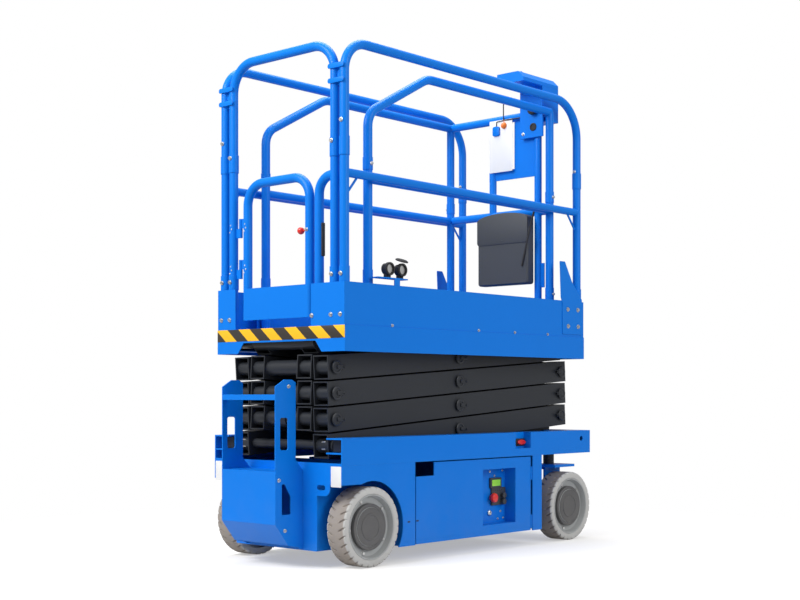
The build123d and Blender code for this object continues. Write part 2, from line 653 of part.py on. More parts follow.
def across(level, slope, share, y0, y1, radius, mode=Mode.ADD):
    """Round bar across the pair at a share of the arm's half length from its centre."""
    with BuildSketch(arm_plane(level, slope, y0)) as disc:
        with Locations((share * ARM_LENGTH / 2, 0)):
            Circle(radius)
    extrude(disc.sketch, amount=y1 - y0, mode=mode)


inner_face = INNER_ARM_Y - ARM_WIDTH / 2
inner_out = INNER_ARM_Y + ARM_WIDTH / 2
outer_in = OUTER_ARM_Y - ARM_WIDTH / 2
outer_face = OUTER_ARM_Y + ARM_WIDTH / 2
shaft_end = outer_face + PIN_HEAD

for level in range(LEVELS):
    number = level + 1
    with BuildPart() as outer_arm:
        arm_bars(level, 1, OUTER_ARM_Y, "front" if number == LEVELS else None)
        for side in (1, -1):
            y0, y1 = sorted((side * (outer_in - 1), side * (outer_face + 1)))
            across(level, 1, 0, y0, y1, PIN_R + PIN_FIT, mode=Mode.SUBTRACT)
        front_end = PLATFORM_EAR_Y + BASE_EAR if number == LEVELS else shaft_end
        if number == 1:
            across(level, 1, -1, -outer_face - 1, outer_face + 1, PIN_R + PIN_FIT, mode=Mode.SUBTRACT)
        else:
            across(level, 1, -1, -shaft_end, shaft_end, PIN_R)
        across(level, 1, 1, -front_end, front_end, PIN_R)
    save(outer_arm.part, f"outer_arm_{number}")
    with BuildPart() as inner_arm:
        arm_bars(level, -1, INNER_ARM_Y, "rear" if number == LEVELS else None)
        across(level, -1, 1, -inner_face - 1, inner_face + 1, BOSS_R)
        if number == 1:
            for side in (1, -1):
                y0, y1 = sorted((side * (EYE_WIDTH / 2 + EAR_GAP), side * (inner_face + 1)))
                across(level, -1, -1, y0, y1, BOSS_R)
        else:
            across(level, -1, -1, -inner_face - 1, inner_face + 1, BOSS_R)
        if number == LEVELS:
            rear = BLOCK_OUT - BLOCK_SHAFT_SHORT
            across(level, -1, -1, -rear, rear, PIN_R)
        else:
            across(level, -1, -1, -inner_out - 1, inner_out + 1, PIN_R + PIN_FIT, mode=Mode.SUBTRACT)
        across(level, -1, 1, -inner_out - 1, inner_out + 1, PIN_R + PIN_FIT, mode=Mode.SUBTRACT)
        for side in (1, -1):
            y0, y1 = sorted((side * (inner_face - 6), side * shaft_end))
            across(level, -1, 0, y0, y1, PIN_R)
        if number == CYLINDER_TOP_LEVEL:
            for side in (1, -1):
                y0, y1 = sorted((side * EAR_Y, side * (EAR_Y + EAR_THICK)))
                with BuildSketch(arm_plane(level, -1, y0)) as ear:
                    with BuildLine():
                        Polyline(
                            (TOP_EAR_U - EAR_HALF, EAR_DROP), (TOP_EAR_U + EAR_HALF, EAR_DROP),
                            (TOP_EAR_U + EAR_HALF, -EAR_RISE), (TOP_EAR_U - EAR_HALF, -EAR_RISE), close=True,
                        )
                    make_face()
                extrude(ear.sketch, amount=y1 - y0)
            with BuildSketch(arm_plane(level, -1, -CHEEK_OUT)) as cross:
                with Locations((TOP_EAR_U, -EAR_RISE)):
                    Circle(CROSS_R)
            extrude(cross.sketch, amount=2 * CHEEK_OUT)
            for side in (1, -1):
                for reach, top, width in ((CHEEK_OUT, EAR_RISE + CROSS_R, CHEEK_OUT - CHEEK_IN), (inner_face + 1, 40, 12)):
                    y0, y1 = sorted((side * reach, side * (reach - width)))
                    with BuildSketch(arm_plane(level, -1, y0)) as cheek:
                        with Locations((TOP_EAR_U, (40 - top) / 2)):
                            Rectangle(2 * CROSS_R, top + 40)
                    extrude(cheek.sketch, amount=y1 - y0)
    save(inner_arm.part, f"inner_arm_{number}")

# Base shaft through the rear ends of the first outer arms, with a collar beside each slide block.
with BuildPart() as base_shaft:
    for side in (1, -1):
        y0, y1 = sorted((side * outer_face, side * (CHANNEL_OPEN_Y - 2)))
        across(0, 1, -1, y0, y1, COLLAR_R)
        across(0, 1, -1, y0 - 1, y1 + 1, PIN_R + PIN_FIT, mode=Mode.SUBTRACT)
    shaft_reach = BLOCK_OUT - BLOCK_SHAFT_SHORT
    across(0, 1, -1, -shaft_reach, shaft_reach, PIN_R)
save(base_shaft.part, "base_shaft")

# Slide blocks at the two sliding corners of the stack.
for name, z in (("lower", pin_z(0)), ("upper", pin_z(LEVELS))):
    with BuildPart() as blocks:
        for side in (1, -1):
            y0, y1 = sorted((side * BLOCK_IN, side * BLOCK_OUT))
            slab(PIN_REAR_X - BLOCK_LENGTH / 2, PIN_REAR_X + BLOCK_LENGTH / 2, y0, y1, z - BLOCK_HEIGHT / 2, z + BLOCK_HEIGHT / 2)
            rod(PIN_REAR_X, z, y0 - 1, y1 + 1, PIN_R + PIN_FIT, mode=Mode.SUBTRACT)
    save(blocks.part, f"{name}_slide_blocks")

# Lift cylinder, from the rear shaft over level 1 to the ears on level 3.
low_x, low_z = PIN_REAR_X, pin_z(1)
high_x = PIN_FRONT_X - CYLINDER_TOP_SHARE * REACH
high_z = pin_z(CYLINDER_TOP_LEVEL - 1) + CYLINDER_TOP_SHARE * LEVEL_PITCH
closed = ((high_x - low_x) ** 2 + (high_z - low_z) ** 2) ** 0.5
barrel_end = closed - EYE_R - GLAND_GAP
barrel_floor = closed * BARREL_FLOOR_SHARE
rod_start = barrel_floor + ROD_CLEARANCE
aim = ((high_x - low_x) / closed, 0, (high_z - low_z) / closed)


def along(distance):
    """Plane square to the cylinder at a distance from its lower pin."""
    return Plane(origin=(low_x + aim[0] * distance, 0, low_z + aim[2] * distance), x_dir=(0, 1, 0), z_dir=aim)


with BuildPart() as barrel:
    with BuildSketch(along(EYE_R - 6)):
        Circle(BARREL_R)
    extrude(amount=barrel_end - EYE_R + 6)
    with BuildSketch(along(barrel_floor)):
        Circle(ROD_R + PIN_FIT)
    extrude(amount=barrel_end, mode=Mode.SUBTRACT)
    rod(low_x, low_z, -EYE_WIDTH / 2, EYE_WIDTH / 2, EYE_R)
    rod(low_x, low_z, -BARREL_R - 1, BARREL_R + 1, PIN_R + PIN_FIT, mode=Mode.SUBTRACT)
    for side in (1, -1):
        y0, y1 = sorted((side * EYE_WIDTH / 2, side * (BARREL_R + 1)))
        rod(low_x, low_z, y0, y1, EYE_R + 4, mode=Mode.SUBTRACT)
save(barrel.part, "lift_cylinder_barrel")
with BuildPart() as piston_rod:
    with BuildSketch(along(rod_start)):
        Circle(ROD_R)
    extrude(amount=closed - rod_start - 6)
    rod(high_x, high_z, -EYE_WIDTH / 2, EYE_WIDTH / 2, EYE_R)
save(piston_rod.part, "lift_cylinder_rod")

# Platform: deck pan, slide channels, pivot ears and toe boards.
with BuildPart() as deck:
    slab(PLATFORM_REAR, PLATFORM_FRONT, -HALF, HALF, DECK_TOP - SHEET, DECK_TOP)
    for side in (1, -1):
        slab(PLATFORM_REAR, PLATFORM_FRONT, side * (HALF - SHEET), side * HALF, SKIRT_BOTTOM, DECK_TOP)
        top = pin_z(LEVELS) + CHANNEL_HALF
        low = pin_z(LEVELS) - CHANNEL_HALF
        slab(PLATFORM_REAR + SHEET, CHANNEL_FRONT, side * CHANNEL_OPEN_Y, side * (HALF - SHEET), top, top + CHANNEL_WALL)
        slab(PLATFORM_REAR + SHEET, CHANNEL_FRONT, side * CHANNEL_OPEN_Y, side * (HALF - SHEET), low - CHANNEL_WALL, low)
        y0, y1 = sorted((side * PLATFORM_EAR_Y, side * (PLATFORM_EAR_Y + BASE_EAR)))
        profile_xz(
            [
                (PIN_FRONT_X - EAR_HALF, DECK_TOP - SHEET), (PIN_FRONT_X + EAR_HALF, DECK_TOP - SHEET),
                (PIN_FRONT_X + EAR_HALF * 0.7, pin_z(LEVELS) - 32), (PIN_FRONT_X - EAR_HALF * 0.7, pin_z(LEVELS) - 32),
            ],
            y0, y1,
        )
        rod(PIN_FRONT_X, pin_z(LEVELS), y0 - 1, y1 + 1, PIN_R + PIN_FIT, mode=Mode.SUBTRACT)
        slab(PLATFORM_REAR, PLATFORM_FRONT, side * (HALF - TOE_INSET - SHEET), side * (HALF - TOE_INSET), DECK_TOP, TOE_TOP)
        y0, y1 = sorted((side * (HALF - TOE_INSET), side * HALF))
        profile_xz(
            [
                (CORNER_REAR, CORNER_LOW), (CORNER_FRONT, CORNER_LOW), (CORNER_FRONT, TOE_TOP + 10),
                (CORNER_KNEE, CORNER_KNEE_Z), (CORNER_TOP_FRONT, CORNER_TOP), (CORNER_TOP_REAR, CORNER_TOP),
                (CORNER_TOP_REAR + 9, TOE_TOP + 14), (CORNER_REAR, TOE_TOP - 12),
            ],
            y0, y1, corner=5,
        )
    profile_yz(
        [
            (-HALF, SKIRT_BOTTOM), (-CUT_LOW_Y, SKIRT_BOTTOM), (-CUT_TOP_Y, CUT_TOP), (CUT_TOP_Y, CUT_TOP),
            (CUT_LOW_Y, SKIRT_BOTTOM), (HALF, SKIRT_BOTTOM), (HALF, DECK_TOP), (-HALF, DECK_TOP),
        ],
        PLATFORM_REAR, PLATFORM_REAR + SHEET,
    )
    slab(PLATFORM_FRONT - SHEET, PLATFORM_FRONT, -HALF, HALF, SKIRT_BOTTOM, DECK_TOP)
    for y0, y1 in ((GATE_HINGE_Y + 8, HALF - TOE_INSET), (-HALF + TOE_INSET, GATE_RIGHT - GATE_GAP)):
        slab(PLATFORM_REAR, PLATFORM_REAR + SHEET, y0, y1, DECK_TOP, TOE_TOP)
save(deck.part, "platform_deck")

# Main guard rails: a hoop and a mid rail on each side.
for hand, side in (("left", 1), ("right", -1)):
    y = side * RAIL_Y
    with BuildPart() as rail:
        add(tube(
            [(RAIL_REAR, y, FOOT_Z), (RAIL_REAR, y, RAIL_TOP), (RAIL_FRONT, y, RAIL_TOP), (RAIL_FRONT, y, FOOT_Z)],
            [RAIL_BEND_REAR, RAIL_BEND_FRONT],
        ))
        add(tube([(RAIL_REAR, y, MID_RAIL), (RAIL_FRONT, y, MID_RAIL)], None, MID_R))
        for x, joint in ((RAIL_REAR, REAR_JOINT), (RAIL_FRONT, FRONT_JOINT)):
            post(x, y, TOE_TOP + SEAT, SOCKET_TOP, COLLAR_TUBE_R)
            post(x, y, joint, joint + JOINT_LENGTH, COLLAR_TUBE_R)
        tie_in = side * (HOOP_Y + TUBE_R + SEAT)
        slab(RAIL_REAR - TIE_HALF, RAIL_REAR + TIE_HALF, tie_in, y, HOOP_TIE_LOW, HOOP_TIE_HIGH)
    save(rail.part, f"{hand}_guard_rail")

with BuildPart() as hoop:
    add(tube(
        [(HOOP_X, -HOOP_Y, FOOT_Z), (HOOP_X, -HOOP_Y, RAIL_TOP), (HOOP_X, HOOP_Y, RAIL_TOP), (HOOP_X, HOOP_Y, FOOT_Z)],
        [RAIL_BEND_REAR, RAIL_BEND_REAR],
    ))
    add(tube(
        [(HOOP_X, -HOOP_Y, STUB_TOP), (HOOP_X, STUB_RIGHT, STUB_TOP), (HOOP_X, STUB_RIGHT, FOOT_Z)],
        [STUB_BEND],
    ))
    for y in (-HOOP_Y, HOOP_Y):
        post(HOOP_X, y, TOE_TOP + SEAT, SOCKET_TOP, COLLAR_TUBE_R)
        post(HOOP_X, y, REAR_JOINT, REAR_JOINT + JOINT_LENGTH, COLLAR_TUBE_R)
    for z in GATE_HINGES:
        post(GATE_X, GATE_HINGE_Y, z - GATE_KNUCKLE, z - SEAT, GATE_HINGE_R)
        slab(GATE_X - 2, GATE_X + 2, GATE_HINGE_Y, HOOP_Y, z - GATE_KNUCKLE, z - SEAT)
save(hoop.part, "rear_hoop_rail")

# Entry gate: an inverted U with its own toe board, hinged on the left stub post.
with BuildPart() as gate:
    add(tube(
        [(GATE_X, GATE_RIGHT, GATE_FOOT), (GATE_X, GATE_RIGHT, GATE_TOP), (GATE_X, GATE_LEFT, GATE_TOP), (GATE_X, GATE_LEFT, GATE_FOOT)],
        [GATE_BEND, GATE_BEND],
    ))
    slab(GATE_X - TUBE_R, GATE_X - TUBE_R + SHEET, GATE_RIGHT, GATE_LEFT, GATE_FOOT, TOE_TOP)
    for z in GATE_HINGES:
        post(GATE_X, GATE_HINGE_Y, z, z + GATE_KNUCKLE, GATE_HINGE_R)
        slab(GATE_X - 2, GATE_X + 2, GATE_LEFT, GATE_HINGE_Y, z, z + GATE_KNUCKLE)
save(gate.part, "entry_gate")

# Roll-out deck with its own rails.
with BuildPart() as ext_deck:
    slab(EXT_DECK_REAR, EXT_DECK_FRONT, -EXT_SIDE, EXT_SIDE, DECK_TOP + 4, DECK_TOP + 4 + SHEET)
    for side in (1, -1):
        slab(EXT_DECK_REAR, EXT_DECK_FRONT, side * (EXT_SIDE - SHEET), side * EXT_SIDE, DECK_TOP + SEAT, TOE_TOP - 8)
    slab(EXT_DECK_FRONT - SHEET, EXT_DECK_FRONT, -EXT_SIDE, EXT_SIDE, DECK_TOP + 4, TOE_TOP - 8)
save(ext_deck.part, "extension_deck")

for hand, side in (("left", 1), ("right", -1)):
    y = side * EXT_Y
    base = DECK_TOP + 4 + SHEET + SEAT
    with BuildPart() as ext_rail:
        add(tube(
            [
                (EXT_REAR, y, base), (EXT_REAR, y, EXT_KNEE_Z), (EXT_TOP_X, y, EXT_TOP_Z),
                (EXT_FRONT, y, EXT_TOP_Z),
            ],
            [EXT_BEND_LOW, EXT_BEND_TOP],
        ))
        add(tube([(EXT_REAR, y, MID_RAIL), (EXT_FRONT, y, MID_RAIL)], None, MID_R))
        add(tube([(EXT_FRONT, y, base), (EXT_FRONT, y, EXT_TOP_Z)], None))
        for x in (EXT_REAR, EXT_FRONT):
            post(x, y, TOE_TOP + SEAT, SOCKET_TOP, EXT_COLLAR_R)
            post(x, y, EXT_JOINT, EXT_JOINT + EXT_JOINT_LENGTH, EXT_COLLAR_R)
    save(ext_rail.part, f"{hand}_extension_rail")

with BuildPart() as front_rail:
    for z in (MID_RAIL, EXT_TOP_Z):
        add(tube([(EXT_FRONT, -EXT_Y + TUBE_R + SEAT, z), (EXT_FRONT, EXT_Y - TUBE_R - SEAT, z)], None))
    profile_yz(
        [
            (PANEL_LEFT, PANEL_BOTTOM), (PANEL_LEFT, PANEL_STEP), (PANEL_NOTCH, PANEL_STEP), (PANEL_NOTCH, EXT_TOP_Z),
            (PANEL_RIGHT, EXT_TOP_Z), (PANEL_RIGHT, PANEL_BOTTOM),
        ],
        EXT_FRONT - PANEL_HALF, EXT_FRONT + PANEL_HALF,
    )
    post(EXT_FRONT, HANGER_Y, MID_RAIL, PANEL_STEP - 2, MID_R)
    post(EXT_FRONT, MAST_Y, DECK_TOP + 4 + SHEET + SEAT, EXT_TOP_Z, MID_R)
    slab(
        EXT_FRONT - PANEL_HALF, EXT_FRONT + PANEL_HALF, MAST_Y, -EXT_Y + TUBE_R + EXT_COLLAR_R / 2,
        GUSSET_LOW, GUSSET_HIGH,
    )
save(front_rail.part, "extension_front_rail")

# Console on the front rail: a saddle over the top rail, with its head leaning back over the deck.
rail_near = EXT_FRONT - TUBE_R - SEAT
rail_far = EXT_FRONT + TUBE_R + SEAT
rail_above = EXT_TOP_Z + TUBE_R + SEAT
with BuildPart() as control:
    profile_xz(
        [
            (rail_near - SADDLE_PLATE, SADDLE_BOTTOM), (rail_near, SADDLE_BOTTOM), (rail_near, rail_above),
            (rail_far, rail_above), (rail_far, CONSOLE_BOTTOM), (CONSOLE_FRONT, CONSOLE_BOTTOM),
            (CONSOLE_FRONT, HEAD_BOTTOM + 1), (rail_near - SADDLE_PLATE, HEAD_BOTTOM + 1),
        ],
        CONSOLE_RIGHT, CONSOLE_LEFT,
    )
    with BuildSketch(Plane.YZ.offset(HEAD_REAR)) as head:
        with BuildLine():
            Polyline(
                (HEAD_LEFT, HEAD_BOTTOM), (HEAD_LEFT, HEAD_TOP), (CONSOLE_RIGHT + HEAD_SLOPE, HEAD_TOP),
                (CONSOLE_RIGHT, HEAD_TOP - HEAD_SLOPE), (CONSOLE_RIGHT, HEAD_BOTTOM), close=True,
            )
        make_face()
        fillet(head.vertices(), radius=HEAD_CORNER)
    extrude(head.sketch, amount=CONSOLE_FRONT - HEAD_REAR)
save(control.part, "platform_control_box")

# Document box: a pouch with an arched lid and rounded corners.
with BuildPart() as box:
    box_front = EXT_FRONT - TUBE_R - SEAT
    with BuildSketch(Plane.YZ.offset(box_front - BOX_DEPTH)):
        with BuildLine():
            Polyline((BOX_LEFT, BOX_SHOULDER), (BOX_LEFT, BOX_BOTTOM), (BOX_RIGHT, BOX_BOTTOM), (BOX_RIGHT, BOX_SHOULDER))
            ThreePointArc(
                (BOX_RIGHT, BOX_SHOULDER), ((BOX_LEFT + BOX_RIGHT) / 2, MID_RAIL), (BOX_LEFT, BOX_SHOULDER)
            )
        make_face()
    extrude(amount=BOX_DEPTH)
    fillet(box.edges().filter_by(Axis.Z), radius=BOX_CORNER)
save(box.part, "document_box")
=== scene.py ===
"""Looks of a narrow electric scissor lift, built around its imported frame.

Each sub-assembly is a class whose dataclass fields are its sizes in metres. New pieces are surfaces
worked out with numpy on a grid, and each finish is a procedural material on Object coordinates.
"""

import json
import logging
import math
from dataclasses import dataclass
from enum import Enum
from functools import cache

import bmesh
import bpy
import numpy as np
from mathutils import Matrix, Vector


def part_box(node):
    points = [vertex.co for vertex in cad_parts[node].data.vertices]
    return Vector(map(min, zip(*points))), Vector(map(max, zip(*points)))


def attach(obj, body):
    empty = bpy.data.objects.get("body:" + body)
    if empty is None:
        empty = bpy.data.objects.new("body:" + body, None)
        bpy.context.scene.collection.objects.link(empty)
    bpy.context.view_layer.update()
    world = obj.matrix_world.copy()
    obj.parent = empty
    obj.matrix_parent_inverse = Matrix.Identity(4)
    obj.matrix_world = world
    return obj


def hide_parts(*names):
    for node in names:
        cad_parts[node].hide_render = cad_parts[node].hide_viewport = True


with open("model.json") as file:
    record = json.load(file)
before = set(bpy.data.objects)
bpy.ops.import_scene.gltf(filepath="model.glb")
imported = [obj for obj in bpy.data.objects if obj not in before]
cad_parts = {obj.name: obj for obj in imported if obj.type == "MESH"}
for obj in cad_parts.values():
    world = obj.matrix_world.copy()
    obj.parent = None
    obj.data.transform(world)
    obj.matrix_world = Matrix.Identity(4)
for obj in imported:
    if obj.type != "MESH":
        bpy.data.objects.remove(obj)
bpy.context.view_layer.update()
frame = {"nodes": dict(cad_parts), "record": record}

LOG = logging.getLogger("scissor_lift")

Colour = tuple[float, float, float]
Vec = tuple[float, float, float]
Spot = tuple[float, float]
Spots = tuple[Spot, ...]
Socket = bpy.types.NodeSocket
Tree = bpy.types.NodeTree
Outline = np.ndarray
REAR: Vec = (-1.0, 0.0, 0.0)
FRONT: Vec = (1.0, 0.0, 0.0)
LEFT: Vec = (0.0, 1.0, 0.0)
RIGHT: Vec = (0.0, -1.0, 0.0)
UP: Vec = (0.0, 0.0, 1.0)


def mm(*numbers: float) -> Spots:
    """Pairs of numbers in millimetres, as points in metres."""
    return tuple((first / 1000, second / 1000) for first, second in zip(numbers[::2], numbers[1::2]))


class Side(Enum):
    """The machine's two sides, with the sign that each has along Y."""

    LEFT = 1
    RIGHT = -1

    @property
    def word(self) -> str:
        """The side as it stands in names."""
        return self.name.lower()

    @property
    def out(self) -> Vec:
        """Direction away from the machine's middle."""
        return (0.0, float(self.value), 0.0)


# Surfaces: a shape is rows of points on a grid, or several such shapes joined.
@dataclass
class Shape:
    """Points of one or more surfaces, and the faces over them.

    Args:
        points: array of N points by 3.
        faces: lists of point numbers.
    """

    points: np.ndarray
    faces: list[list[int]]

    def moved(self, *offset: float) -> "Shape":
        """The shape moved by an offset along X, Y and Z."""
        return Shape(self.points + np.array(offset, float), self.faces)


def grid(points: np.ndarray, caps: bool = True) -> Shape:
    """Quads over closed rows of points: face (i, j) joins row i to row i + 1 between columns j and j + 1.

    Args:
        points: array of rows by columns by 3.
        caps: whether the first and last rows are closed by a face.

    Returns:
        The shape.
    """
    number = np.arange(points.shape[0] * points.shape[1]).reshape(points.shape[:2])
    right = np.roll(number, -1, axis=1)
    faces = np.stack([number[:-1], right[:-1], right[1:], number[1:]], axis=-1).reshape(-1, 4).tolist()
    if caps:
        faces += [number[0, ::-1].tolist(), number[-1].tolist()]
    return Shape(points.reshape(-1, 3), faces)


def joined(shapes: list[Shape]) -> Shape:
    """Several shapes as one, with all their points and faces."""
    starts = np.cumsum([0] + [len(shape.points) for shape in shapes[:-1]]).tolist()
    faces = [[index + start for index in face] for shape, start in zip(shapes, starts) for face in shape.faces]
    return Shape(np.concatenate([shape.points for shape in shapes]), faces)


def placed(shape: Shape, origin: Vec, up: Vec = UP, ahead: Vec | None = None) -> Shape:
    """A shape turned so that its Z runs along up and its X as near to ahead as may be, then moved.

    Args:
        shape: the shape at the origin.
        origin: where its own origin goes.
        up: direction of its Z.
        ahead: direction near its X.

    Returns:
        The moved shape.
    """
    z = np.array(up, float) / np.linalg.norm(up)
    near = np.array(ahead or (UP if abs(z[2]) < 0.9 else FRONT), float)
    x = near - z * near.dot(z)
    x /= np.linalg.norm(x)
    return Shape(shape.points @ np.stack([x, np.cross(z, x), z]) + np.array(origin, float), shape.faces)


def circle(radius: float, count: int) -> Outline:
    """Outline (radius cos t, radius sin t) with t round the turn."""
    turn = np.linspace(0, 2 * np.pi, count, endpoint=False)
    return radius * np.stack([np.cos(turn), np.sin(turn)], axis=-1)


def rounded(width: float, height: float, corner: float) -> Outline:
    """Outline of a rounded rectangle: six points of a quarter circle about each corner's centre.

    Args:
        width: size along X.
        height: size along Y.
        corner: radius of the corners.

    Returns:
        The outline, 24 points by 2.
    """
    turn = (np.linspace(0, np.pi / 2, 6)[None] + np.arange(4)[:, None] * np.pi / 2).ravel()
    signs = np.repeat(np.array([(1, 1), (-1, 1), (-1, -1), (1, -1)], float), 6, axis=0)
    centre = signs * (np.array([width, height]) / 2 - corner)
    return centre + corner * np.stack([np.cos(turn), np.sin(turn)], axis=-1)


def inset(outline: Outline, depth: float) -> Outline:
    """Outline moved inwards: each point goes along the mean of its two edges' normals, longer at a corner.

    Args:
        outline: points by 2, anticlockwise.
        depth: how far each edge moves in.

    Returns:
        The moved outline.
    """
    ahead = np.roll(outline, -1, axis=0) - outline
    ahead /= np.linalg.norm(ahead, axis=1, keepdims=True)
    normal = np.stack([-ahead[:, 1], ahead[:, 0]], axis=-1)
    before = np.roll(normal, 1, axis=0)
    share = 1 + (normal * before).sum(axis=1, keepdims=True)
    return outline + depth * (normal + before) / share


def layered(outline: Outline, depths: np.ndarray, heights: np.ndarray) -> Shape:
    """Closed shape through copies of an outline, each inset by a depth and lifted to a height."""
    rings = [np.column_stack([inset(outline, d), np.full(len(outline), z)]) for d, z in zip(depths, heights)]
    return grid(np.stack(rings))


def prism(outline: Outline, thick: float, edge: float = 0.0008, steps: int = 3) -> Shape:
    """Plate with rounded rims: at angle t the ring is inset by edge (1 - sin t) at height edge (1 - cos t).

    Args:
        outline: points by 2, anticlockwise.
        thick: height along Z.
        edge: radius of the rims.
        steps: rings in each rim.

    Returns:
        The closed shape, from Z = 0 up.
    """
    turn = np.linspace(0, np.pi / 2, steps)
    depths, heights = edge * (1 - np.sin(turn)), edge * (1 - np.cos(turn))
    heights = np.concatenate([heights, thick - heights[::-1]])
    return layered(outline, np.concatenate([depths, depths[::-1]]), heights)


def turned(profile: Spots, count: int, origin: Vec = (0, 0, 0), out: Vec = UP) -> Shape:
    """Surface of revolution: (r cos t, r sin t, z) for each profile point (r, z), placed with its Z outwards.

    Args:
        profile: points from the bottom up, each a radius and a height.
        count: points round the turn.
        origin: where the profile's bottom goes.
        out: direction of its axis.

    Returns:
        The shape, closed where a radius is zero.
    """
    rim = np.array(profile, float)
    turn = np.linspace(0, 2 * np.pi, count, endpoint=False)
    flat = [rim[:, :1] * np.cos(turn), rim[:, :1] * np.sin(turn), np.repeat(rim[:, 1:], count, axis=1)]
    return placed(grid(np.stack(flat, axis=-1), caps=False), origin, out)


def bent(points: list[Vec], radius: float) -> np.ndarray:
    """Path through points with each inner corner rounded by a quadratic curve (1-t)2 A + 2t(1-t) B + t2 C.

    Args:
        points: the corners.
        radius: how far from each corner its curve starts.

    Returns:
        The path, points by 3, with eight along each curve.
    """
    corners = np.array(points, float)
    step = np.diff(corners, axis=0)
    unit = step / np.linalg.norm(step, axis=1, keepdims=True)
    share = np.linspace(0, 1, 8)[None, :, None]
    before = (corners[1:-1] - unit[:-1] * radius)[:, None]
    after = (corners[1:-1] + unit[1:] * radius)[:, None]
    curves = (1 - share) ** 2 * before + 2 * share * (1 - share) * corners[1:-1][:, None] + share**2 * after
    return np.concatenate([corners[:1], curves.reshape(-1, 3), corners[-1:]])


def wire(points: list[Vec], radius: float, normal: Vec, bend: float = 0.012) -> Shape:
    """Round wire along a flat path, bent at its corners: path + a (normal x heading) + b normal.

    Args:
        points: the corners, all in one plane.
        radius: the wire's radius.
        normal: the plane's normal.
        bend: how far from each corner its curve starts.

    Returns:
        The closed tube.
    """
    path, outline, axis = bent(points, bend), circle(radius, 12), np.array(normal, float)
    heading = np.gradient(path, axis=0)
    heading /= np.linalg.norm(heading, axis=1, keepdims=True)
    across = np.cross(axis, heading)
    return grid(path[:, None] + outline[None, :, :1] * across[:, None] + outline[None, :, 1:] * axis)


# Finishes: node groups that several materials share, and the materials.
class Pen:
    """Short ways to add and link the nodes of one tree."""

    def __init__(self, tree: Tree) -> None:
        """Works on that tree."""
        self.tree = tree

    def feed(self, socket: Socket, value: object) -> None:
        """Links a socket to an output, or gives it a plain number or colour."""
        if isinstance(value, Socket):
            self.tree.links.new(value, socket)
        else:
            socket.default_value = (*value[:3], 1.0) if socket.type == "RGBA" else value

    def add(self, kind: str, *terms: object, operation: str | None = None, **values: object) -> bpy.types.Node:
        """A new node.

        Args:
            kind: the node's type, after ShaderNode.
            terms: an output or a plain value for each socket in order.
            operation: its operation, where it has one.
            values: an output or a plain value for each socket by name.

        Returns:
            The node.
        """
        node = self.tree.nodes.new(f"ShaderNode{kind}")
        if operation:
            node.operation = operation
        for key, value in [*enumerate(terms), *values.items()]:
            self.feed(node.inputs[key], value)
        return node

    def out(self, kind: str, *terms: object, **values: object) -> Socket:
        """First output of a new node."""
        return self.add(kind, *terms, **values).outputs[0]

    def math(self, operation: str, *terms: object, clamp: bool = False) -> Socket:
        """Result of a Math node, kept between 0 and 1 if clamp is set."""
        node = self.add("Math", *terms, operation=operation)
        node.use_clamp = clamp
        return node.outputs[0]

    def blend(self, share: Socket, *colors: object) -> Socket:
        """A colour between two, each a colour or an output."""
        node = self.add("Mix")
        node.data_type = "RGBA"
        self.feed(node.inputs[0], share)
        for socket, term in zip([socket for socket in node.inputs if socket.type == "RGBA"], colors):
            self.feed(socket, term)
        return next(socket for socket in node.outputs if socket.type == "RGBA")

    def place(self) -> Socket:
        """Object coordinates."""
        return self.add("TexCoord").outputs["Object"]


def fresh(owner: bpy.types.Material | bpy.types.World) -> Pen:
    """Pen for the emptied nodes of a material or world."""
    owner.use_nodes = True
    owner.node_tree.nodes.clear()
    return Pen(owner.node_tree)


class GroupPen(Pen):
    """Pen for a new node group, with its inputs at hand by name."""

    def __init__(self, name: str, **inputs: float | Colour | None) -> None:
        """Starts a group.

        Args:
            name: the group's name.
            inputs: each socket's default: a number, a colour, or None for a vector.
        """
        super().__init__(bpy.data.node_groups.new(name, "ShaderNodeTree"))
        for label, default in inputs.items():
            kind = {float: "Float", tuple: "Color"}.get(type(default), "Vector")
            socket = self.tree.interface.new_socket(name=label, in_out="INPUT", socket_type=f"NodeSocket{kind}")
            if kind == "Float":
                socket.default_value = default
            elif kind == "Color":
                socket.default_value = (*default, 1.0)
        self.into = self.tree.nodes.new("NodeGroupInput").outputs

    def done(self, **results: Socket) -> Tree:
        """Puts out each result, and hands back the group."""
        end = self.tree.nodes.new("NodeGroupOutput")
        for label, value in results.items():
            kind = "NodeSocketColor" if label == "Color" else "NodeSocketFloat"
            self.tree.interface.new_socket(name=label, in_out="OUTPUT", socket_type=kind)
            self.feed(end.inputs[label], value)
        return self.tree


@cache
def drift_group() -> Tree:
    """Group that lightens and darkens a colour by slow noise, as paint and rubber vary over a surface."""
    pen = GroupPen("colour drift", Vector=None, Color=(0.5, 0.5, 0.5), Spread=0.1, Scale=3.0)
    noise = pen.out("TexNoise", Vector=pen.into["Vector"], Scale=pen.into["Scale"], Detail=5.0, Roughness=0.6)
    swing = pen.math("MULTIPLY", pen.math("SUBTRACT", noise, 0.5), pen.into["Spread"])
    gain = pen.math("MULTIPLY_ADD", swing, 2.0, 1.0)
    return pen.done(Color=pen.out("VectorMath", pen.into["Color"], operation="SCALE", Scale=gain), Value=noise)


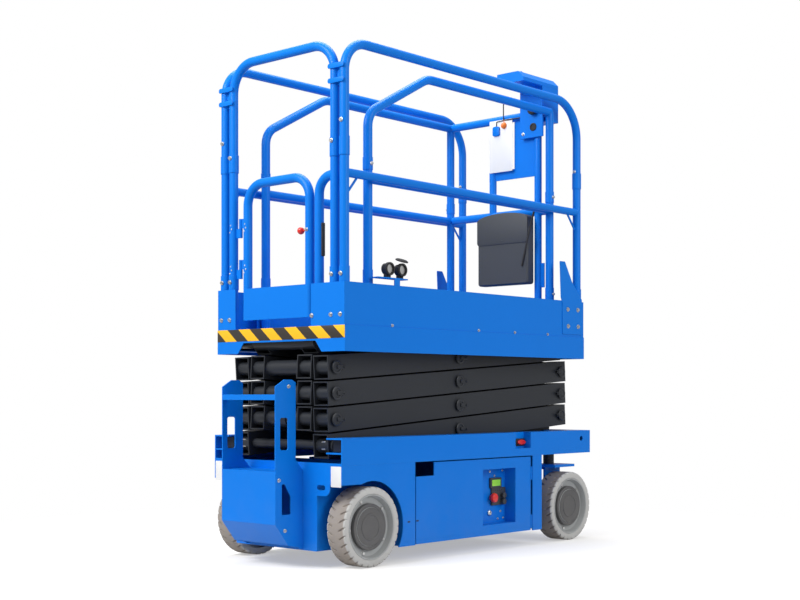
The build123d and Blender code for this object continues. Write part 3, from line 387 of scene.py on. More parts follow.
@cache
def dust_group() -> Tree:
    """Group whose mask grows towards the ground and breaks up in noise, as dust settles on low parts."""
    pen = GroupPen("settled dust", Vector=None, Height=0.4, Amount=0.3, Scale=9.0)
    low = pen.math("DIVIDE", pen.add("SeparateXYZ", pen.into["Vector"]).outputs["Z"], pen.into["Height"])
    fade = pen.math("SUBTRACT", 1.0, low, clamp=True)
    noise = pen.out("TexNoise", Vector=pen.into["Vector"], Scale=pen.into["Scale"], Detail=7.0, Roughness=0.68)
    patch = pen.math("MULTIPLY", pen.math("SUBTRACT", noise, 0.35, clamp=True), 2.2, clamp=True)
    mask = pen.math("MULTIPLY", fade, patch)
    return pen.done(Mask=pen.math("MULTIPLY", mask, pen.into["Amount"], clamp=True))


@cache
def relief_group() -> Tree:
    """Group whose height is fine noise over coarse noise, as sprayed paint or cast skin has."""
    pen = GroupPen("surface relief", Vector=None, Scale=300.0, Coarse=0.3)
    fine = pen.out("TexNoise", Vector=pen.into["Vector"], Scale=pen.into["Scale"], Detail=2.0)
    slow = pen.math("MULTIPLY", pen.into["Scale"], 0.04)
    coarse = pen.out("TexNoise", Vector=pen.into["Vector"], Scale=slow, Detail=3.0)
    return pen.done(Height=pen.math("ADD", fine, pen.math("MULTIPLY", coarse, pen.into["Coarse"])))


@cache
def scuff_group() -> Tree:
    """Group whose mask is thin streaks of stretched noise, as handling scratches a painted face."""
    pen = GroupPen("handling scuffs", Vector=None, Amount=0.2)
    stretched = pen.out("Mapping", Vector=pen.into["Vector"], Scale=(1.6, 9.0, 46.0), Rotation=(0.3, 0.25, 0.1))
    noise = pen.out("TexNoise", Vector=stretched, Scale=6.0, Detail=6.0, Roughness=0.7)
    strong = pen.math("MULTIPLY", pen.math("SUBTRACT", noise, 0.64, clamp=True), 9.0, clamp=True)
    return pen.done(Mask=pen.math("MULTIPLY", strong, pen.into["Amount"], clamp=True))


@dataclass(frozen=True)
class Finish:
    """One surface finish: its colour with drift, its gloss, its relief, and the dust and scuffs on it.

    Args:
        label: the material's name.
        slot: the record's slot that it stands for.
        color: base colour, linear.
        roughness: mean roughness.
        metallic: 0 or 1.
        coat: weight of the clear coat.
        drift: how far the colour varies, and drift_scale how fine.
        relief: depth of the relief in metres, and relief_scale how fine.
        dust: how much dust lies below dust_height, in dust_color.
        scuffs: how many scuffs show, in scuff_color.
        round_edges: radius at which edges catch light.
        specular: strength of the uncoloured reflection.
    """

    label: str
    slot: str
    color: Colour
    roughness: float = 0.4
    metallic: float = 0.0
    coat: float = 0.0
    drift: float = 0.05
    drift_scale: float = 2.5
    relief: float = 0.00004
    relief_scale: float = 260.0
    dust: float = 0.0
    dust_height: float = 0.45
    scuffs: float = 0.0
    round_edges: float = 0.0
    specular: float = 0.5
    dust_color: Colour = (0.36, 0.33, 0.29)
    scuff_color: Colour = (0.30, 0.32, 0.35)

    def material(self) -> bpy.types.Material:
        """The finish's material, made once."""
        known = bpy.data.materials.get(self.label)
        if known:
            return known
        material = bpy.data.materials.new(self.label)
        pen = fresh(material)
        place = pen.place()
        color, value = self.pattern(pen, place)
        rough = pen.math("MULTIPLY_ADD", value, self.drift * 1.5, self.roughness - self.drift * 0.75)
        if self.dust:
            mask = self.group(pen, place, dust_group(), Height=self.dust_height, Amount=self.dust)["Mask"]
            color = pen.blend(mask, color, self.dust_color)
            rough = pen.math("MULTIPLY_ADD", mask, 0.4, rough, clamp=True)
        if self.scuffs:
            mask = self.group(pen, place, scuff_group(), Amount=self.scuffs)["Mask"]
            color = pen.blend(mask, color, self.scuff_color)
            rough = pen.math("MULTIPLY_ADD", mask, 0.25, rough, clamp=True)
        bump = pen.add("Bump", Strength=1.0, Distance=self.relief, Height=self.height(pen, place))
        if self.round_edges:
            soft = pen.add("Bevel", Radius=self.round_edges)
            soft.samples = 4
            pen.feed(bump.inputs["Normal"], soft.outputs[0])
        values = {
            "Base Color": color, "Roughness": rough, "Normal": bump.outputs[0], "Metallic": self.metallic,
            "Coat Weight": self.coat, "Coat Roughness": 0.12, "Specular IOR Level": self.specular,
        }
        pen.add("OutputMaterial", Surface=pen.out("BsdfPrincipled", **values))
        return material

    def group(self, pen: Pen, place: Socket, tree: Tree, **values: object) -> object:
        """Outputs of a shared group in this material, on Object coordinates."""
        node = pen.add("Group")
        node.node_tree = tree
        for label, value in {"Vector": place, **values}.items():
            pen.feed(node.inputs[label], value)
        return node.outputs

    def pattern(self, pen: Pen, place: Socket) -> tuple[Socket, Socket]:
        """The colour, and the drift's value."""
        values = {"Color": self.color, "Spread": self.drift, "Scale": self.drift_scale}
        drift = self.group(pen, place, drift_group(), **values)
        return drift["Color"], drift["Value"]

    def height(self, pen: Pen, place: Socket) -> Socket:
        """The relief's height."""
        return self.group(pen, place, relief_group(), Scale=self.relief_scale)["Height"]


@dataclass(frozen=True)
class HazardFinish(Finish):
    """Slanted stripes of two colours: the dark one shows where fract((y + slope z) / pitch) is over half."""

    dark: Colour = (0.035, 0.028, 0.022)
    pitch: float = 0.140
    slope: float = -1.2

    def pattern(self, pen: Pen, place: Socket) -> tuple[Socket, Socket]:
        """Stripes across the band, over the drift of the light colour."""
        base, value = super().pattern(pen, place)
        _, y, z = pen.add("SeparateXYZ", place).outputs
        turns = pen.math("DIVIDE", pen.math("MULTIPLY_ADD", z, self.slope, y), self.pitch)
        mask = pen.math("GREATER_THAN", pen.math("FRACT", turns), 0.5)
        return pen.blend(mask, base, self.dark), value


@dataclass(frozen=True)
class TyreFinish(Finish):
    """Rubber whose tread is worn to another colour between the two side walls.

    The tread shows where | |y| - middle | is under half, with a soft edge.
    """

    tread: Colour = (0.30, 0.265, 0.235)
    middle: float = 0.330
    half: float = 0.0445
    soft: float = 0.004

    def pattern(self, pen: Pen, place: Socket) -> tuple[Socket, Socket]:
        """Side-wall colour, with the tread's colour between."""
        base, value = super().pattern(pen, place)
        side = pen.math("ABSOLUTE", pen.add("SeparateXYZ", place).outputs["Y"])
        away = pen.math("ABSOLUTE", pen.math("SUBTRACT", side, self.middle))
        mask = pen.math("MULTIPLY_ADD", away, -1 / self.soft, self.half / self.soft, clamp=True)
        return pen.blend(mask, base, self.tread), value


@dataclass(frozen=True)
class PlateFinish(Finish):
    """Deck plate with raised lozenges in two directions, as a height of crossed cosine products."""

    lozenge: float = 0.022

    def height(self, pen: Pen, place: Socket) -> Socket:
        """Lozenges: the larger of two stretched waves, each kept only above a threshold."""
        fine = super().height(pen, place)
        x, y, _ = pen.add("SeparateXYZ", place).outputs
        tops = []
        for along, across, phase in ((x, y, 0.0), (y, x, math.pi)):
            waves = [pen.math("MULTIPLY_ADD", axis, math.pi / self.lozenge, phase) for axis in (along, across)]
            first, second = (pen.math("COSINE", wave) for wave in waves)
            sharp = pen.math("POWER", pen.math("MULTIPLY_ADD", second, 0.5, 0.5), 9.0)
            product = pen.math("MULTIPLY", sharp, pen.math("MULTIPLY_ADD", first, 0.5, 0.5))
            tops.append(pen.math("SUBTRACT", product, 0.35, clamp=True))
        return pen.math("MULTIPLY_ADD", pen.math("MAXIMUM", *tops), 26.0, fine)


BLUE = Finish(
    "machine_blue_enamel", "machine_blue", (0.0015, 0.178, 0.70), roughness=0.34, coat=0.04, drift=0.035,
    dust=0.06, dust_height=0.5, scuffs=0.04, round_edges=0.0018, specular=0.14,
)
DECK_BLUE = PlateFinish(
    "deck_plate_enamel", "machine_blue", (0.0015, 0.16, 0.62), roughness=0.4, coat=0.04, drift=0.05,
    scuffs=0.30, round_edges=0.0015, specular=0.16,
)
DARK = Finish(
    "scissor_dark_enamel", "dark_enamel", (0.024, 0.027, 0.033), roughness=0.42, coat=0.04, drift=0.10,
    drift_scale=3.5, scuffs=0.16, scuff_color=(0.08, 0.085, 0.09), round_edges=0.0016, specular=0.3,
)
TYRE = TyreFinish(
    "grey_tyre_rubber", "grey_tyre", (0.50, 0.50, 0.49), roughness=0.78, drift=0.10, drift_scale=7.0,
    relief=0.00015, relief_scale=180.0, dust=0.25, dust_height=0.33, dust_color=(0.22, 0.19, 0.16),
)
RIM = Finish(
    "rim_grey_enamel", "rim_grey", (0.36, 0.375, 0.38), roughness=0.45, drift=0.07, drift_scale=6.0,
    dust=0.22, dust_height=0.3, round_edges=0.0015,
)
BATTERY = Finish("battery_case_black", "battery_case", (0.02, 0.02, 0.022), roughness=0.55, relief=0.0001)
STEEL = Finish(
    "zinc_plated_steel", "bright_steel", (0.60, 0.60, 0.59), roughness=0.33, metallic=1.0, drift=0.12,
    drift_scale=40.0, round_edges=0.0005,
)
CHROME = Finish("hard_chrome", "chromed_rod", (0.80, 0.81, 0.82), roughness=0.09, metallic=1.0, drift=0.03)
PLASTIC = Finish(
    "grained_dark_plastic", "dark_plastic", (0.040, 0.045, 0.052), roughness=0.55, relief=0.00012,
    relief_scale=420.0, round_edges=0.002,
)
RUBBER = Finish("black_rubber", "dark_plastic", (0.016, 0.016, 0.017), roughness=0.7, relief=0.0001)
RED = Finish("signal_red_plastic", "dark_plastic", (0.72, 0.02, 0.012), roughness=0.32, coat=0.3, drift=0.04)
ORANGE = Finish("tag_orange", "dark_plastic", (0.90, 0.20, 0.02), roughness=0.45)
WHITE = Finish("blank_white_label", "dark_plastic", (0.80, 0.80, 0.79), roughness=0.42, drift=0.04)
HAZARD = HazardFinish("hazard_stripe_band", "dark_plastic", (0.93, 0.50, 0.008))
HUB = Finish(
    "hub_cover_enamel", "dark_enamel", (0.085, 0.085, 0.088), roughness=0.5, drift=0.10, drift_scale=9.0,
    dust=0.2, dust_height=0.3, round_edges=0.0012,
)
SCREEN = Finish("display_green", "dark_plastic", (0.30, 0.72, 0.04), roughness=0.2, coat=0.6)

BY_SLOT = {finish.slot: finish for finish in (BLUE, DARK, TYRE, RIM, BATTERY, STEEL, CHROME, PLASTIC)}
BY_NODE = {"extension_deck": DECK_BLUE}


# Pieces: what puts a shape into the scene, and the small forms that recur.
def linked(name: str, data: bpy.types.ID) -> bpy.types.Object:
    """A new object over that data, in the scene."""
    thing = bpy.data.objects.new(name, data)
    bpy.context.scene.collection.objects.link(thing)
    return thing


def make(name: str, finish: Finish, body: str, *shapes: Shape) -> bpy.types.Object:
    """One piece of the scene: its mesh, finish and body.

    Args:
        name: the object's name.
        finish: its finish.
        body: the body that it rides on.
        shapes: its surfaces, in the frame's metres.

    Returns:
        The object.
    """
    shape = joined(list(shapes))
    mesh = bpy.data.meshes.new(name)
    mesh.from_pydata(shape.points.tolist(), [], shape.faces)
    work = bmesh.new()
    work.from_mesh(mesh)
    bmesh.ops.remove_doubles(work, verts=work.verts, dist=1e-6)
    bmesh.ops.recalc_face_normals(work, faces=work.faces)
    work.to_mesh(mesh)
    work.free()
    mesh.shade_smooth()
    mesh.set_sharp_from_angle(angle=math.radians(32.0))
    mesh.materials.append(finish.material())
    piece = linked(name, mesh)
    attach(piece, body)
    LOG.info("%s: %d points, %d faces, rides on %s", name, len(mesh.vertices), len(mesh.polygons), body)
    return piece


def span(node: str) -> tuple[np.ndarray, np.ndarray]:
    """The lowest and highest corners of a CAD node, as arrays."""
    low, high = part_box(node)
    return np.array(low), np.array(high)


def joint_place(name: str) -> Vec:
    """A joint's point in the row frame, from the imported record."""
    row = next(joint for joint in frame["record"]["behaviour"]["joints"] if joint["name"] == name)
    return tuple(row["pos_m"])


def bolt(radius: float, height: float) -> Shape:
    """Hexagon head on a washer: a six-sided prism over a thin disc."""
    washer = prism(circle(radius * 1.35, 20), 0.0016, 0.0004)
    return joined([washer, prism(circle(radius, 6), height, 0.0007, 2).moved(0, 0, 0.0014)])


def heads(places: list[Vec], out: Vec, radius: float = 0.008, height: float = 0.0055) -> Shape:
    """Bolt heads at several places, all facing one way."""
    return joined([placed(bolt(radius, height), place, out) for place in places])


def panel(size: Spot, thick: float, origin: Vec, out: Vec, ahead: Vec, corner: float = 0.003) -> Shape:
    """Rounded plate centred on a point.

    Args:
        size: length along ahead, and across it.
        thick: its thickness.
        origin: middle of its back.
        out: the way that it faces.
        ahead: the way that its length runs.
        corner: radius of its corners.

    Returns:
        The closed plate.
    """
    return placed(prism(rounded(*size, corner), thick, min(0.0006, thick / 3)), origin, out, ahead)


def dome(radius: float, height: float, origin: Vec, out: Vec) -> Shape:
    """Button head: a quarter ellipse turned about its axis."""
    rim = [(radius * math.cos(t), height * math.sin(t)) for t in np.linspace(0, np.pi / 2, 7)[:-1]]
    return turned([(0, 0), (radius, 0.0), *rim, (0.0, height)], 20, origin, out)


def dress() -> None:
    """Gives every carried-over CAD node its finish by slot."""
    for row in frame["record"]["subparts"]:
        finish = BY_NODE.get(row["node"], BY_SLOT[row["material_slot"]])
        for holder in frame["nodes"][row["node"]].material_slots:
            holder.material = finish.material()
        LOG.info("%s: %s", row["node"], finish.label)


@dataclass
class Wheels:
    """Tyres with slanted tread slots, wheel bolts and dark hub discs."""

    rings: int = 384
    shrink: float = 0.0004
    shoulder: float = 0.009
    slot_count: int = 30
    slot_skew: float = 0.16
    slot_depth: float = 0.006
    slot_reach: float = 0.30
    bolts: int = 5
    bolt_circle: float = 0.108
    bolt_start: float = 40.0
    web_depth: float = 0.027
    disc_depth: float = 0.008
    ring_depth: float = 0.011
    disc: Spots = mm(0, 0, 77, 0, 77, 1.2, 75, 2, 55, 2, 53, 4.5, 47, 5.2, 45, 2.8, 0, 2.8)
    ring: Spots = mm(79.5, -16, 93.5, -16, 93.5, 0, 91, 1.8, 79.5, 1.8, 79.5, -16)

    def tread(self, node: str, bore: float) -> Shape:
        """One tyre about its axle: r(t, s) follows the section, less the slots' depth.

        Slots run in from both shoulders. A slot shows where the wave cos(count (t + skew s)) is high, and it
        fades out towards the middle of the tread.

        Args:
            node: the CAD tyre whose box gives radius and width.
            bore: radius of the rim that the tyre sits on.

        Returns:
            The tyre's surface.
        """
        low, high = span(node)
        outer = (high[2] - low[2]) / 2 - self.shrink
        half = (high[1] - low[1]) / 2 - self.shrink
        lip = np.linspace(0, np.pi / 2, 6)
        side = np.array([(bore + 0.0005, half - 0.003), (bore + 0.003, half - 0.001), (bore + 0.012, half)])
        arc = (outer, half) - self.shoulder * (1 - np.stack([np.sin(lip), np.cos(lip)], axis=-1))
        crown = np.stack([np.full(12, outer), np.linspace(0.96, 0, 12) * (half - self.shoulder)], axis=-1)
        upper = np.concatenate([side, arc, crown])
        section = np.concatenate([upper, upper[-2::-1] * (1, -1)])
        turn = np.linspace(0, 2 * np.pi, self.rings, endpoint=False)
        radius = np.repeat(section[:, :1], len(turn), axis=1)
        across = np.repeat(section[:, 1:], len(turn), axis=1)
        share = across / half
        phase = np.where(share > 0, 0.0, np.pi)
        wave = np.cos(self.slot_count * (turn[None] + self.slot_skew * np.abs(share)) + phase)
        cut = np.clip((wave - 0.80) / 0.10, 0, 1)
        near = np.clip((np.abs(share) - self.slot_reach) / 0.12, 0, 1)
        on_tread = np.clip((radius - (outer - 0.016)) / 0.010, 0, 1)
        radius = radius - self.slot_depth * cut * near * on_tread
        points = np.stack([radius * np.cos(turn), across, radius * np.sin(turn)], axis=-1) + (low + high) / 2
        return grid(points, caps=False)

    def build(self) -> None:
        """Builds the four wheels' pieces."""
        turns = np.radians(self.bolt_start) + np.arange(self.bolts) * 2 * math.pi / self.bolts
        bolt_steps = [(self.bolt_circle * math.cos(t), self.bolt_circle * math.sin(t)) for t in turns]
        for corner, side in ((f"{end}_{side.word}", side) for end in ("front", "rear") for side in Side):
            body = f"{corner}_wheel"
            low, high = span(f"{corner}_rim")
            x, _, z = (low + high) / 2
            tyre = make(f"{corner}_tread", TYRE, body, self.tread(f"{corner}_tyre", (high[2] - low[2]) / 2))
            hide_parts(f"{corner}_tyre")
            face = high[1] if side is Side.LEFT else low[1]
            depths = (self.web_depth, self.disc_depth, self.ring_depth)
            web, disc, ring = (face - side.value * depth for depth in depths)
            spots = [(x + across, web, z + rise) for across, rise in bolt_steps]
            make(f"{corner}_wheel_bolts", STEEL, body, heads(spots, side.out, 0.007, 0.006))
            make(f"{corner}_hub_disc", HUB, body, turned(self.disc, 56, (x, disc, z), side.out))
            make(f"{corner}_hub_ring", HUB, body, turned(self.ring, 56, (x, ring, z), side.out))


@dataclass
class ScissorPins:
    """Caps, keeper plates and screws on the stack's pins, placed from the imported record's joints."""

    reach: float = 0.285
    levels: int = 4
    ring: Spots = mm(0, 0, 26, 0, 27, 2, 24, 4, 19, 4.5, 17, 2, 0, 1.5)

    def places(self, level: int) -> list[tuple[str, float, float, float]]:
        """The pins of one level whose ends show outside the arms.

        Args:
            level: the level's number, from 1 at the bottom.

        Returns:
            Each pin's body, its X and Z, and the way that its keeper points along X.
        """
        x, _, z = joint_place(f"outer_arm_{level}_fold")
        lift = joint_place("lift")
        pitch = joint_place("inner_arm_2_fold")[2] - lift[2]
        run, rise = lift[0] - x, z - lift[2] - (level - 1) * pitch
        found = [(f"inner_arm_{level}", x, z, 1.0)]
        if level > 1:
            found.append((f"outer_arm_{level}", x - run, z - rise, 1.0))
        if level < self.levels:
            found.append((f"outer_arm_{level}", x + run, z + rise, -1.0))
        return found

    def build(self) -> None:
        """Puts a cap, a keeper plate and a screw on each pin's ends."""
        keeper = prism(rounded(0.046, 0.016, 0.005), 0.004).moved(0.022, 0, 0.0025)
        end = joined([turned(self.ring, 36), keeper, bolt(0.0055, 0.004).moved(0.037, 0, 0.006)])
        for level in range(1, self.levels + 1):
            for body in (f"outer_arm_{level}", f"inner_arm_{level}"):
                caps = [
                    placed(end, (x, side.value * self.reach, z), side.out, (lean, 0.0, 0.0))
                    for holder, x, z, lean in self.places(level) for side in Side if holder == body
                ]
                make(f"{body}_pin_caps", DARK, body, *caps)


@dataclass
class RearTrim:
    """Hazard band across the platform's rear edge, and the bolts of its plates, sockets and sleeves."""

    band_low: float = 0.9125
    band_thick: float = 0.0012
    post_outer: float = 0.3537
    post_inner: float = 0.302
    stub_bolt: float = -0.195
    plate_bolt: float = 1.005
    socket_bolt: float = 1.165
    hoop_sleeve: float = 1.691
    rail_sleeves: Spot = (1.767, 1.758)
    band_ties: Spot = (1.925, 1.983)

    def build(self) -> None:
        """Builds the band, the bolts and the straps."""
        low, high = span("platform_deck")
        tall = span("extension_deck")[0][2] - self.band_low - 0.0005
        size, middle = (high[1] - low[1] - 0.002, tall), (low[0], 0.0, self.band_low + tall / 2)
        band = panel(size, self.band_thick, middle, REAR, LEFT, 0.002)
        make("rear_hazard_band", HAZARD, "platform", band)
        collar = span("left_guard_rail")[0][0]
        tube = collar + 0.0025
        posts = [side.value * y for side in Side for y in (self.post_outer, self.post_inner)]
        spots = [(low[0], y, self.plate_bolt) for y in posts + [self.stub_bolt]]
        spots += [(collar, y, self.socket_bolt) for y in posts]
        spots += [(collar, side.value * self.post_inner, self.hoop_sleeve) for side in Side]
        spots += [(tube, y, z) for y, z in zip((-self.post_outer, self.post_outer), self.rail_sleeves)]
        make("rear_rail_bolts", STEEL, "platform", heads(spots, REAR, 0.007))
        inside = (self.post_outer + self.post_inner) / 2
        ties = [
            panel((0.088, 0.020), 0.0025, (collar, side.value * inside, z), REAR, LEFT, 0.009)
            for side in Side for z in self.band_ties
        ]
        make("rail_tie_straps", BLUE, "platform", *ties)


@dataclass
class GateTrim:
    """Rivets of the gate's hinges, its latch with a ball, and the rubber strip that it closes on."""

    tube: float = 0.019
    hinge_heights: Spot = (1.217, 1.391)
    rivet_spread: float = 0.009
    latch_height: float = 1.352
    ball_radius: float = 0.015
    strip: Spot = (1.241, 1.374)

    def rivets(self, x: float, y: float) -> list[Shape]:
        """Three rivets in a slanted row at each hinge."""
        return [
            dome(0.0036, 0.002, (x, y + a * self.rivet_spread, z + b * self.rivet_spread), REAR)
            for z in self.hinge_heights for a, b in ((0.0, 1.6), (-0.6, -0.2), (0.5, -1.7))
        ]

    def build(self) -> None:
        """Builds the pieces on the gate and those on the post beside it."""
        low, high = span("entry_gate")
        hoop_low, hoop_high = span("rear_hoop_rail")
        face = high[0] - 2 * self.tube + 0.0006
        gate_tube = joint_place("gate_swing")[1] - 0.045
        make("gate_hinge_rivets", STEEL, "entry_gate", *self.rivets(face, gate_tube))
        make("post_hinge_rivets", STEEL, "platform", *self.rivets(face, hoop_high[1] - 0.0215))
        stem = (high[0] - self.tube, low[1] + 2 * self.tube - 0.002, self.latch_height)
        middle = 0.020 + self.ball_radius * 0.97
        arc = np.linspace(-1.33, np.pi / 2, 12)[:-1]
        ball = [(self.ball_radius * math.cos(t), middle + self.ball_radius * math.sin(t)) for t in arc]
        profile = [(0, 0), (0.0035, 0.0), (0.0035, 0.020), *ball, (0.0, middle + self.ball_radius)]
        make("gate_latch_ball", RED, "entry_gate", turned(profile, 32, stem, LEFT))
        latch = heads([(face, low[1] + self.tube, self.latch_height)], REAR, 0.006)
        make("gate_latch_bolt", STEEL, "entry_gate", latch)
        bottom, top = self.strip
        place = (high[0] - self.tube, hoop_low[1] + 0.0905, (top + bottom) / 2)
        strip = panel((top - bottom, 0.016), 0.006, place, RIGHT, UP, 0.004)
        make("post_buffer_strip", RUBBER, "platform", strip)


@dataclass
class SideTrim:
    """Fasteners along both sides of the platform, and the braces of the mid rails."""

    plate_bolts: Spots = mm(742, 1092, 825, 1093, 745, 1013, 827, 1013)
    clips: tuple[float, ...] = (-0.489, 0.071, 0.331, 0.583)
    clip_height: float = 0.969
    sleeve_bolt: float = 1.757
    braces: tuple[Spots, ...] = (mm(774, 1552, 836, 1480), mm(-669, 1552, -725, 1486))
    rail_y: float = 0.3537
    post_half: float = 0.021
    post_bolts: Spot = (1.624, 1.165)

    def build(self) -> None:
        """Builds the two sides."""
        deck = span("platform_deck")[1][1]
        for side in Side:
            name, face, rail = side.word, side.value * deck, side.value * self.rail_y
            bolts = heads([(x, face, z) for x, z in self.plate_bolts], side.out)
            spots = [(x, face - side.value * 0.003, self.clip_height) for x in self.clips]
            clips = heads(spots, side.out, 0.005, 0.004)
            front = span(f"{name}_guard_rail")[1][0] - 0.0405
            sleeve = heads([(front, rail, self.sleeve_bolt)], REAR, 0.006)
            make(f"{name}_platform_bolts", STEEL, "platform", bolts, clips, sleeve)
            bars = [wire([(x, rail, z) for x, z in brace], 0.005, side.out) for brace in self.braces]
            make(f"{name}_rail_braces", BLUE, "platform", *bars)
            low, high = span(f"{name}_extension_rail")
            outer = high[1] if side is Side.LEFT else low[1]
            spots = [(high[0] - self.post_half, outer, z) for z in self.post_bolts]
            spots.append((low[0] + self.post_half, outer, self.post_bolts[0]))
            make(f"{name}_extension_bolts", STEEL, "extension", heads(spots, side.out, 0.006))


@dataclass
class Outlet:
    """Power outlet on the right toe board: a bracket, two round sockets and a raised cover."""

    post_x: float = -0.457
    bracket: Spot = (-0.568, -0.387)
    bracket_height: float = 1.159
    stem_height: float = 1.134
    sockets: Spot = (-0.493, -0.417)
    socket_height: float = 1.200
    cover: Spot = (-0.414, 1.236)
    lid: Spots = mm(0, 0, 27, 0, 27, 4, 22, 7, 0, 8)
    bowl: Spots = mm(0, 0, 23.22, 0, 23.22, 16, 27, 18, 27, 30, 25.11, 32, 19.98, 32, 18.9, 24, 0, 24)

    def build(self) -> None:
        """Builds the outlet on the platform."""
        toe = span("platform_deck")[0][1] + 0.003
        left, right = self.bracket
        middle = ((left + right) / 2, toe + 0.022, self.bracket_height)
        base = panel((right - left, 0.038), 0.005, middle, UP, FRONT, 0.004)
        middle = (self.post_x, toe + 0.0045, self.stem_height)
        stem = panel((0.034, 0.060), 0.0035, middle, RIGHT, FRONT)
        make("outlet_bracket", BLUE, "platform", base, stem)
        backs = [turned(self.bowl, 36, (x, toe + 0.036, self.socket_height), RIGHT) for x in self.sockets]
        feet = [
            panel((0.030, 0.016), 0.018, (x, toe + 0.024, self.bracket_height + 0.0045), UP, FRONT)
            for x in self.sockets
        ]
        lid = turned(self.lid, 36, (self.cover[0], toe + 0.016, self.cover[1]), (0.0, -0.35, 0.94))
        make("outlet_sockets", RUBBER, "platform", *backs, *feet, lid)
        plate = mm(0, 0, 18, 0, 18, 1.6, 0, 2.2)
        faces = [turned(plate, 28, (x, toe + 0.0125, self.socket_height), RIGHT) for x in self.sockets]
        make("outlet_faces", STEEL, "platform", *faces)


@dataclass
class ControlStation:
    """Knobs and plates of the upper console, its wire guard with tag and ball, and the blank sign beside it."""

    knob: Spot = (-0.237, 2.042)
    port: Spot = (-0.230, 1.965)
    bolts: Spots = mm(-206, 2067, -170, 1937)
    guard: Spots = mm(-151, 2083, -48, 2106, -48, 2022, -151, 2021)
    hook: Spots = mm(-50, 2021.5, -5, 2019, -5, 1990)
    tag_height: float = 1.973
    ball: Spot = (-0.051, 1.996)
    ball_radius: float = 0.015
    sign_left: float = 0.040
    sign_right: float = -0.099
    sign_low: float = 1.773
    sign_high: float = 2.026
    peg_x: float = 0.6975
    hood: Spots = mm(0, 0, 175, 0, 150, 42, 138, 46)
    knob_rim: Spots = mm(0, 0, 12, 0, 12, 10, 22, 12, 23, 16, 21, 28, 16, 31, 0, 32)
    port_rim: Spots = mm(0, 0, 19, 0, 19, 3, 16, 5, 13, 5, 12, 2, 0, 2)

    def build(self) -> None:
        """Builds the pieces on the extension."""
        low, high = span("platform_control_box")
        near = span("extension_front_rail")[0][0] - 0.0093
        knob = turned(self.knob_rim, 36, (near, *self.knob), REAR)
        port = turned(self.port_rim, 32, (near, *self.port), REAR)
        make("console_knob_and_port", RUBBER, "extension", knob, port)
        bolts = heads([(near, y, z) for y, z in self.bolts], REAR, 0.006)
        make("console_bolts", STEEL, "extension", bolts)
        middle = ((low[0] + high[0]) / 2 + 0.01, low[1] + 0.092, high[2])
        keys = panel((0.24, 0.105), 0.003, middle, UP, FRONT, 0.008)
        make("console_key_panel", PLASTIC, "extension", keys)
        corner = (low[0] + 0.028, high[1] - 0.001, high[2] - 0.001)
        hood = placed(prism(np.array(self.hood), 0.020, 0.002), corner, RIGHT, FRONT)
        make("console_hood", BLUE, "extension", hood)
        self.hang(near + 0.0045)
        width, tall = self.sign_left - self.sign_right, self.sign_high - self.sign_low
        middle = (near + 0.0085, (self.sign_left + self.sign_right) / 2, (self.sign_low + self.sign_high) / 2)
        sign = panel((width, tall), 0.0014, middle, REAR, LEFT, 0.005)
        make("blank_sign", WHITE, "extension", sign)
        rod = mm(0, 0, 4, 0, 4, 18, 0, 18)
        pegs = [
            turned(rod, 16, (self.peg_x, y, self.sign_low + 0.0045), REAR)
            for y in (self.sign_left - 0.012, self.sign_right + 0.012)
        ]
        make("sign_pegs", STEEL, "extension", *pegs)

    def hang(self, plane: float) -> None:
        """Builds the wire guard and what hangs from it, in the plane X = plane."""
        loop = wire([(plane, y, z) for y, z in self.guard], 0.0028, FRONT)
        hook = wire([(plane, y, z) for y, z in self.hook], 0.0022, FRONT, 0.006)
        make("console_wire_guard", DARK, "extension", loop, hook)
        place = (plane + 0.006, self.hook[-1][0], self.tag_height)
        tag = panel((0.040, 0.046), 0.012, place, REAR, LEFT, 0.010)
        make("wire_guard_tag", BLUE, "extension", tag)
        turns = np.linspace(-np.pi / 2, np.pi / 2, 13)
        rim = [(self.ball_radius * max(0.0, math.cos(t)), self.ball_radius * math.sin(t)) for t in turns]
        y, z = self.ball
        string = wire([(plane, y, z + 0.013), (plane, y, self.guard[-1][1])], 0.0015, FRONT)
        make("wire_guard_ball", ORANGE, "extension", turned(rim, 24, (plane, y, z), UP), string)


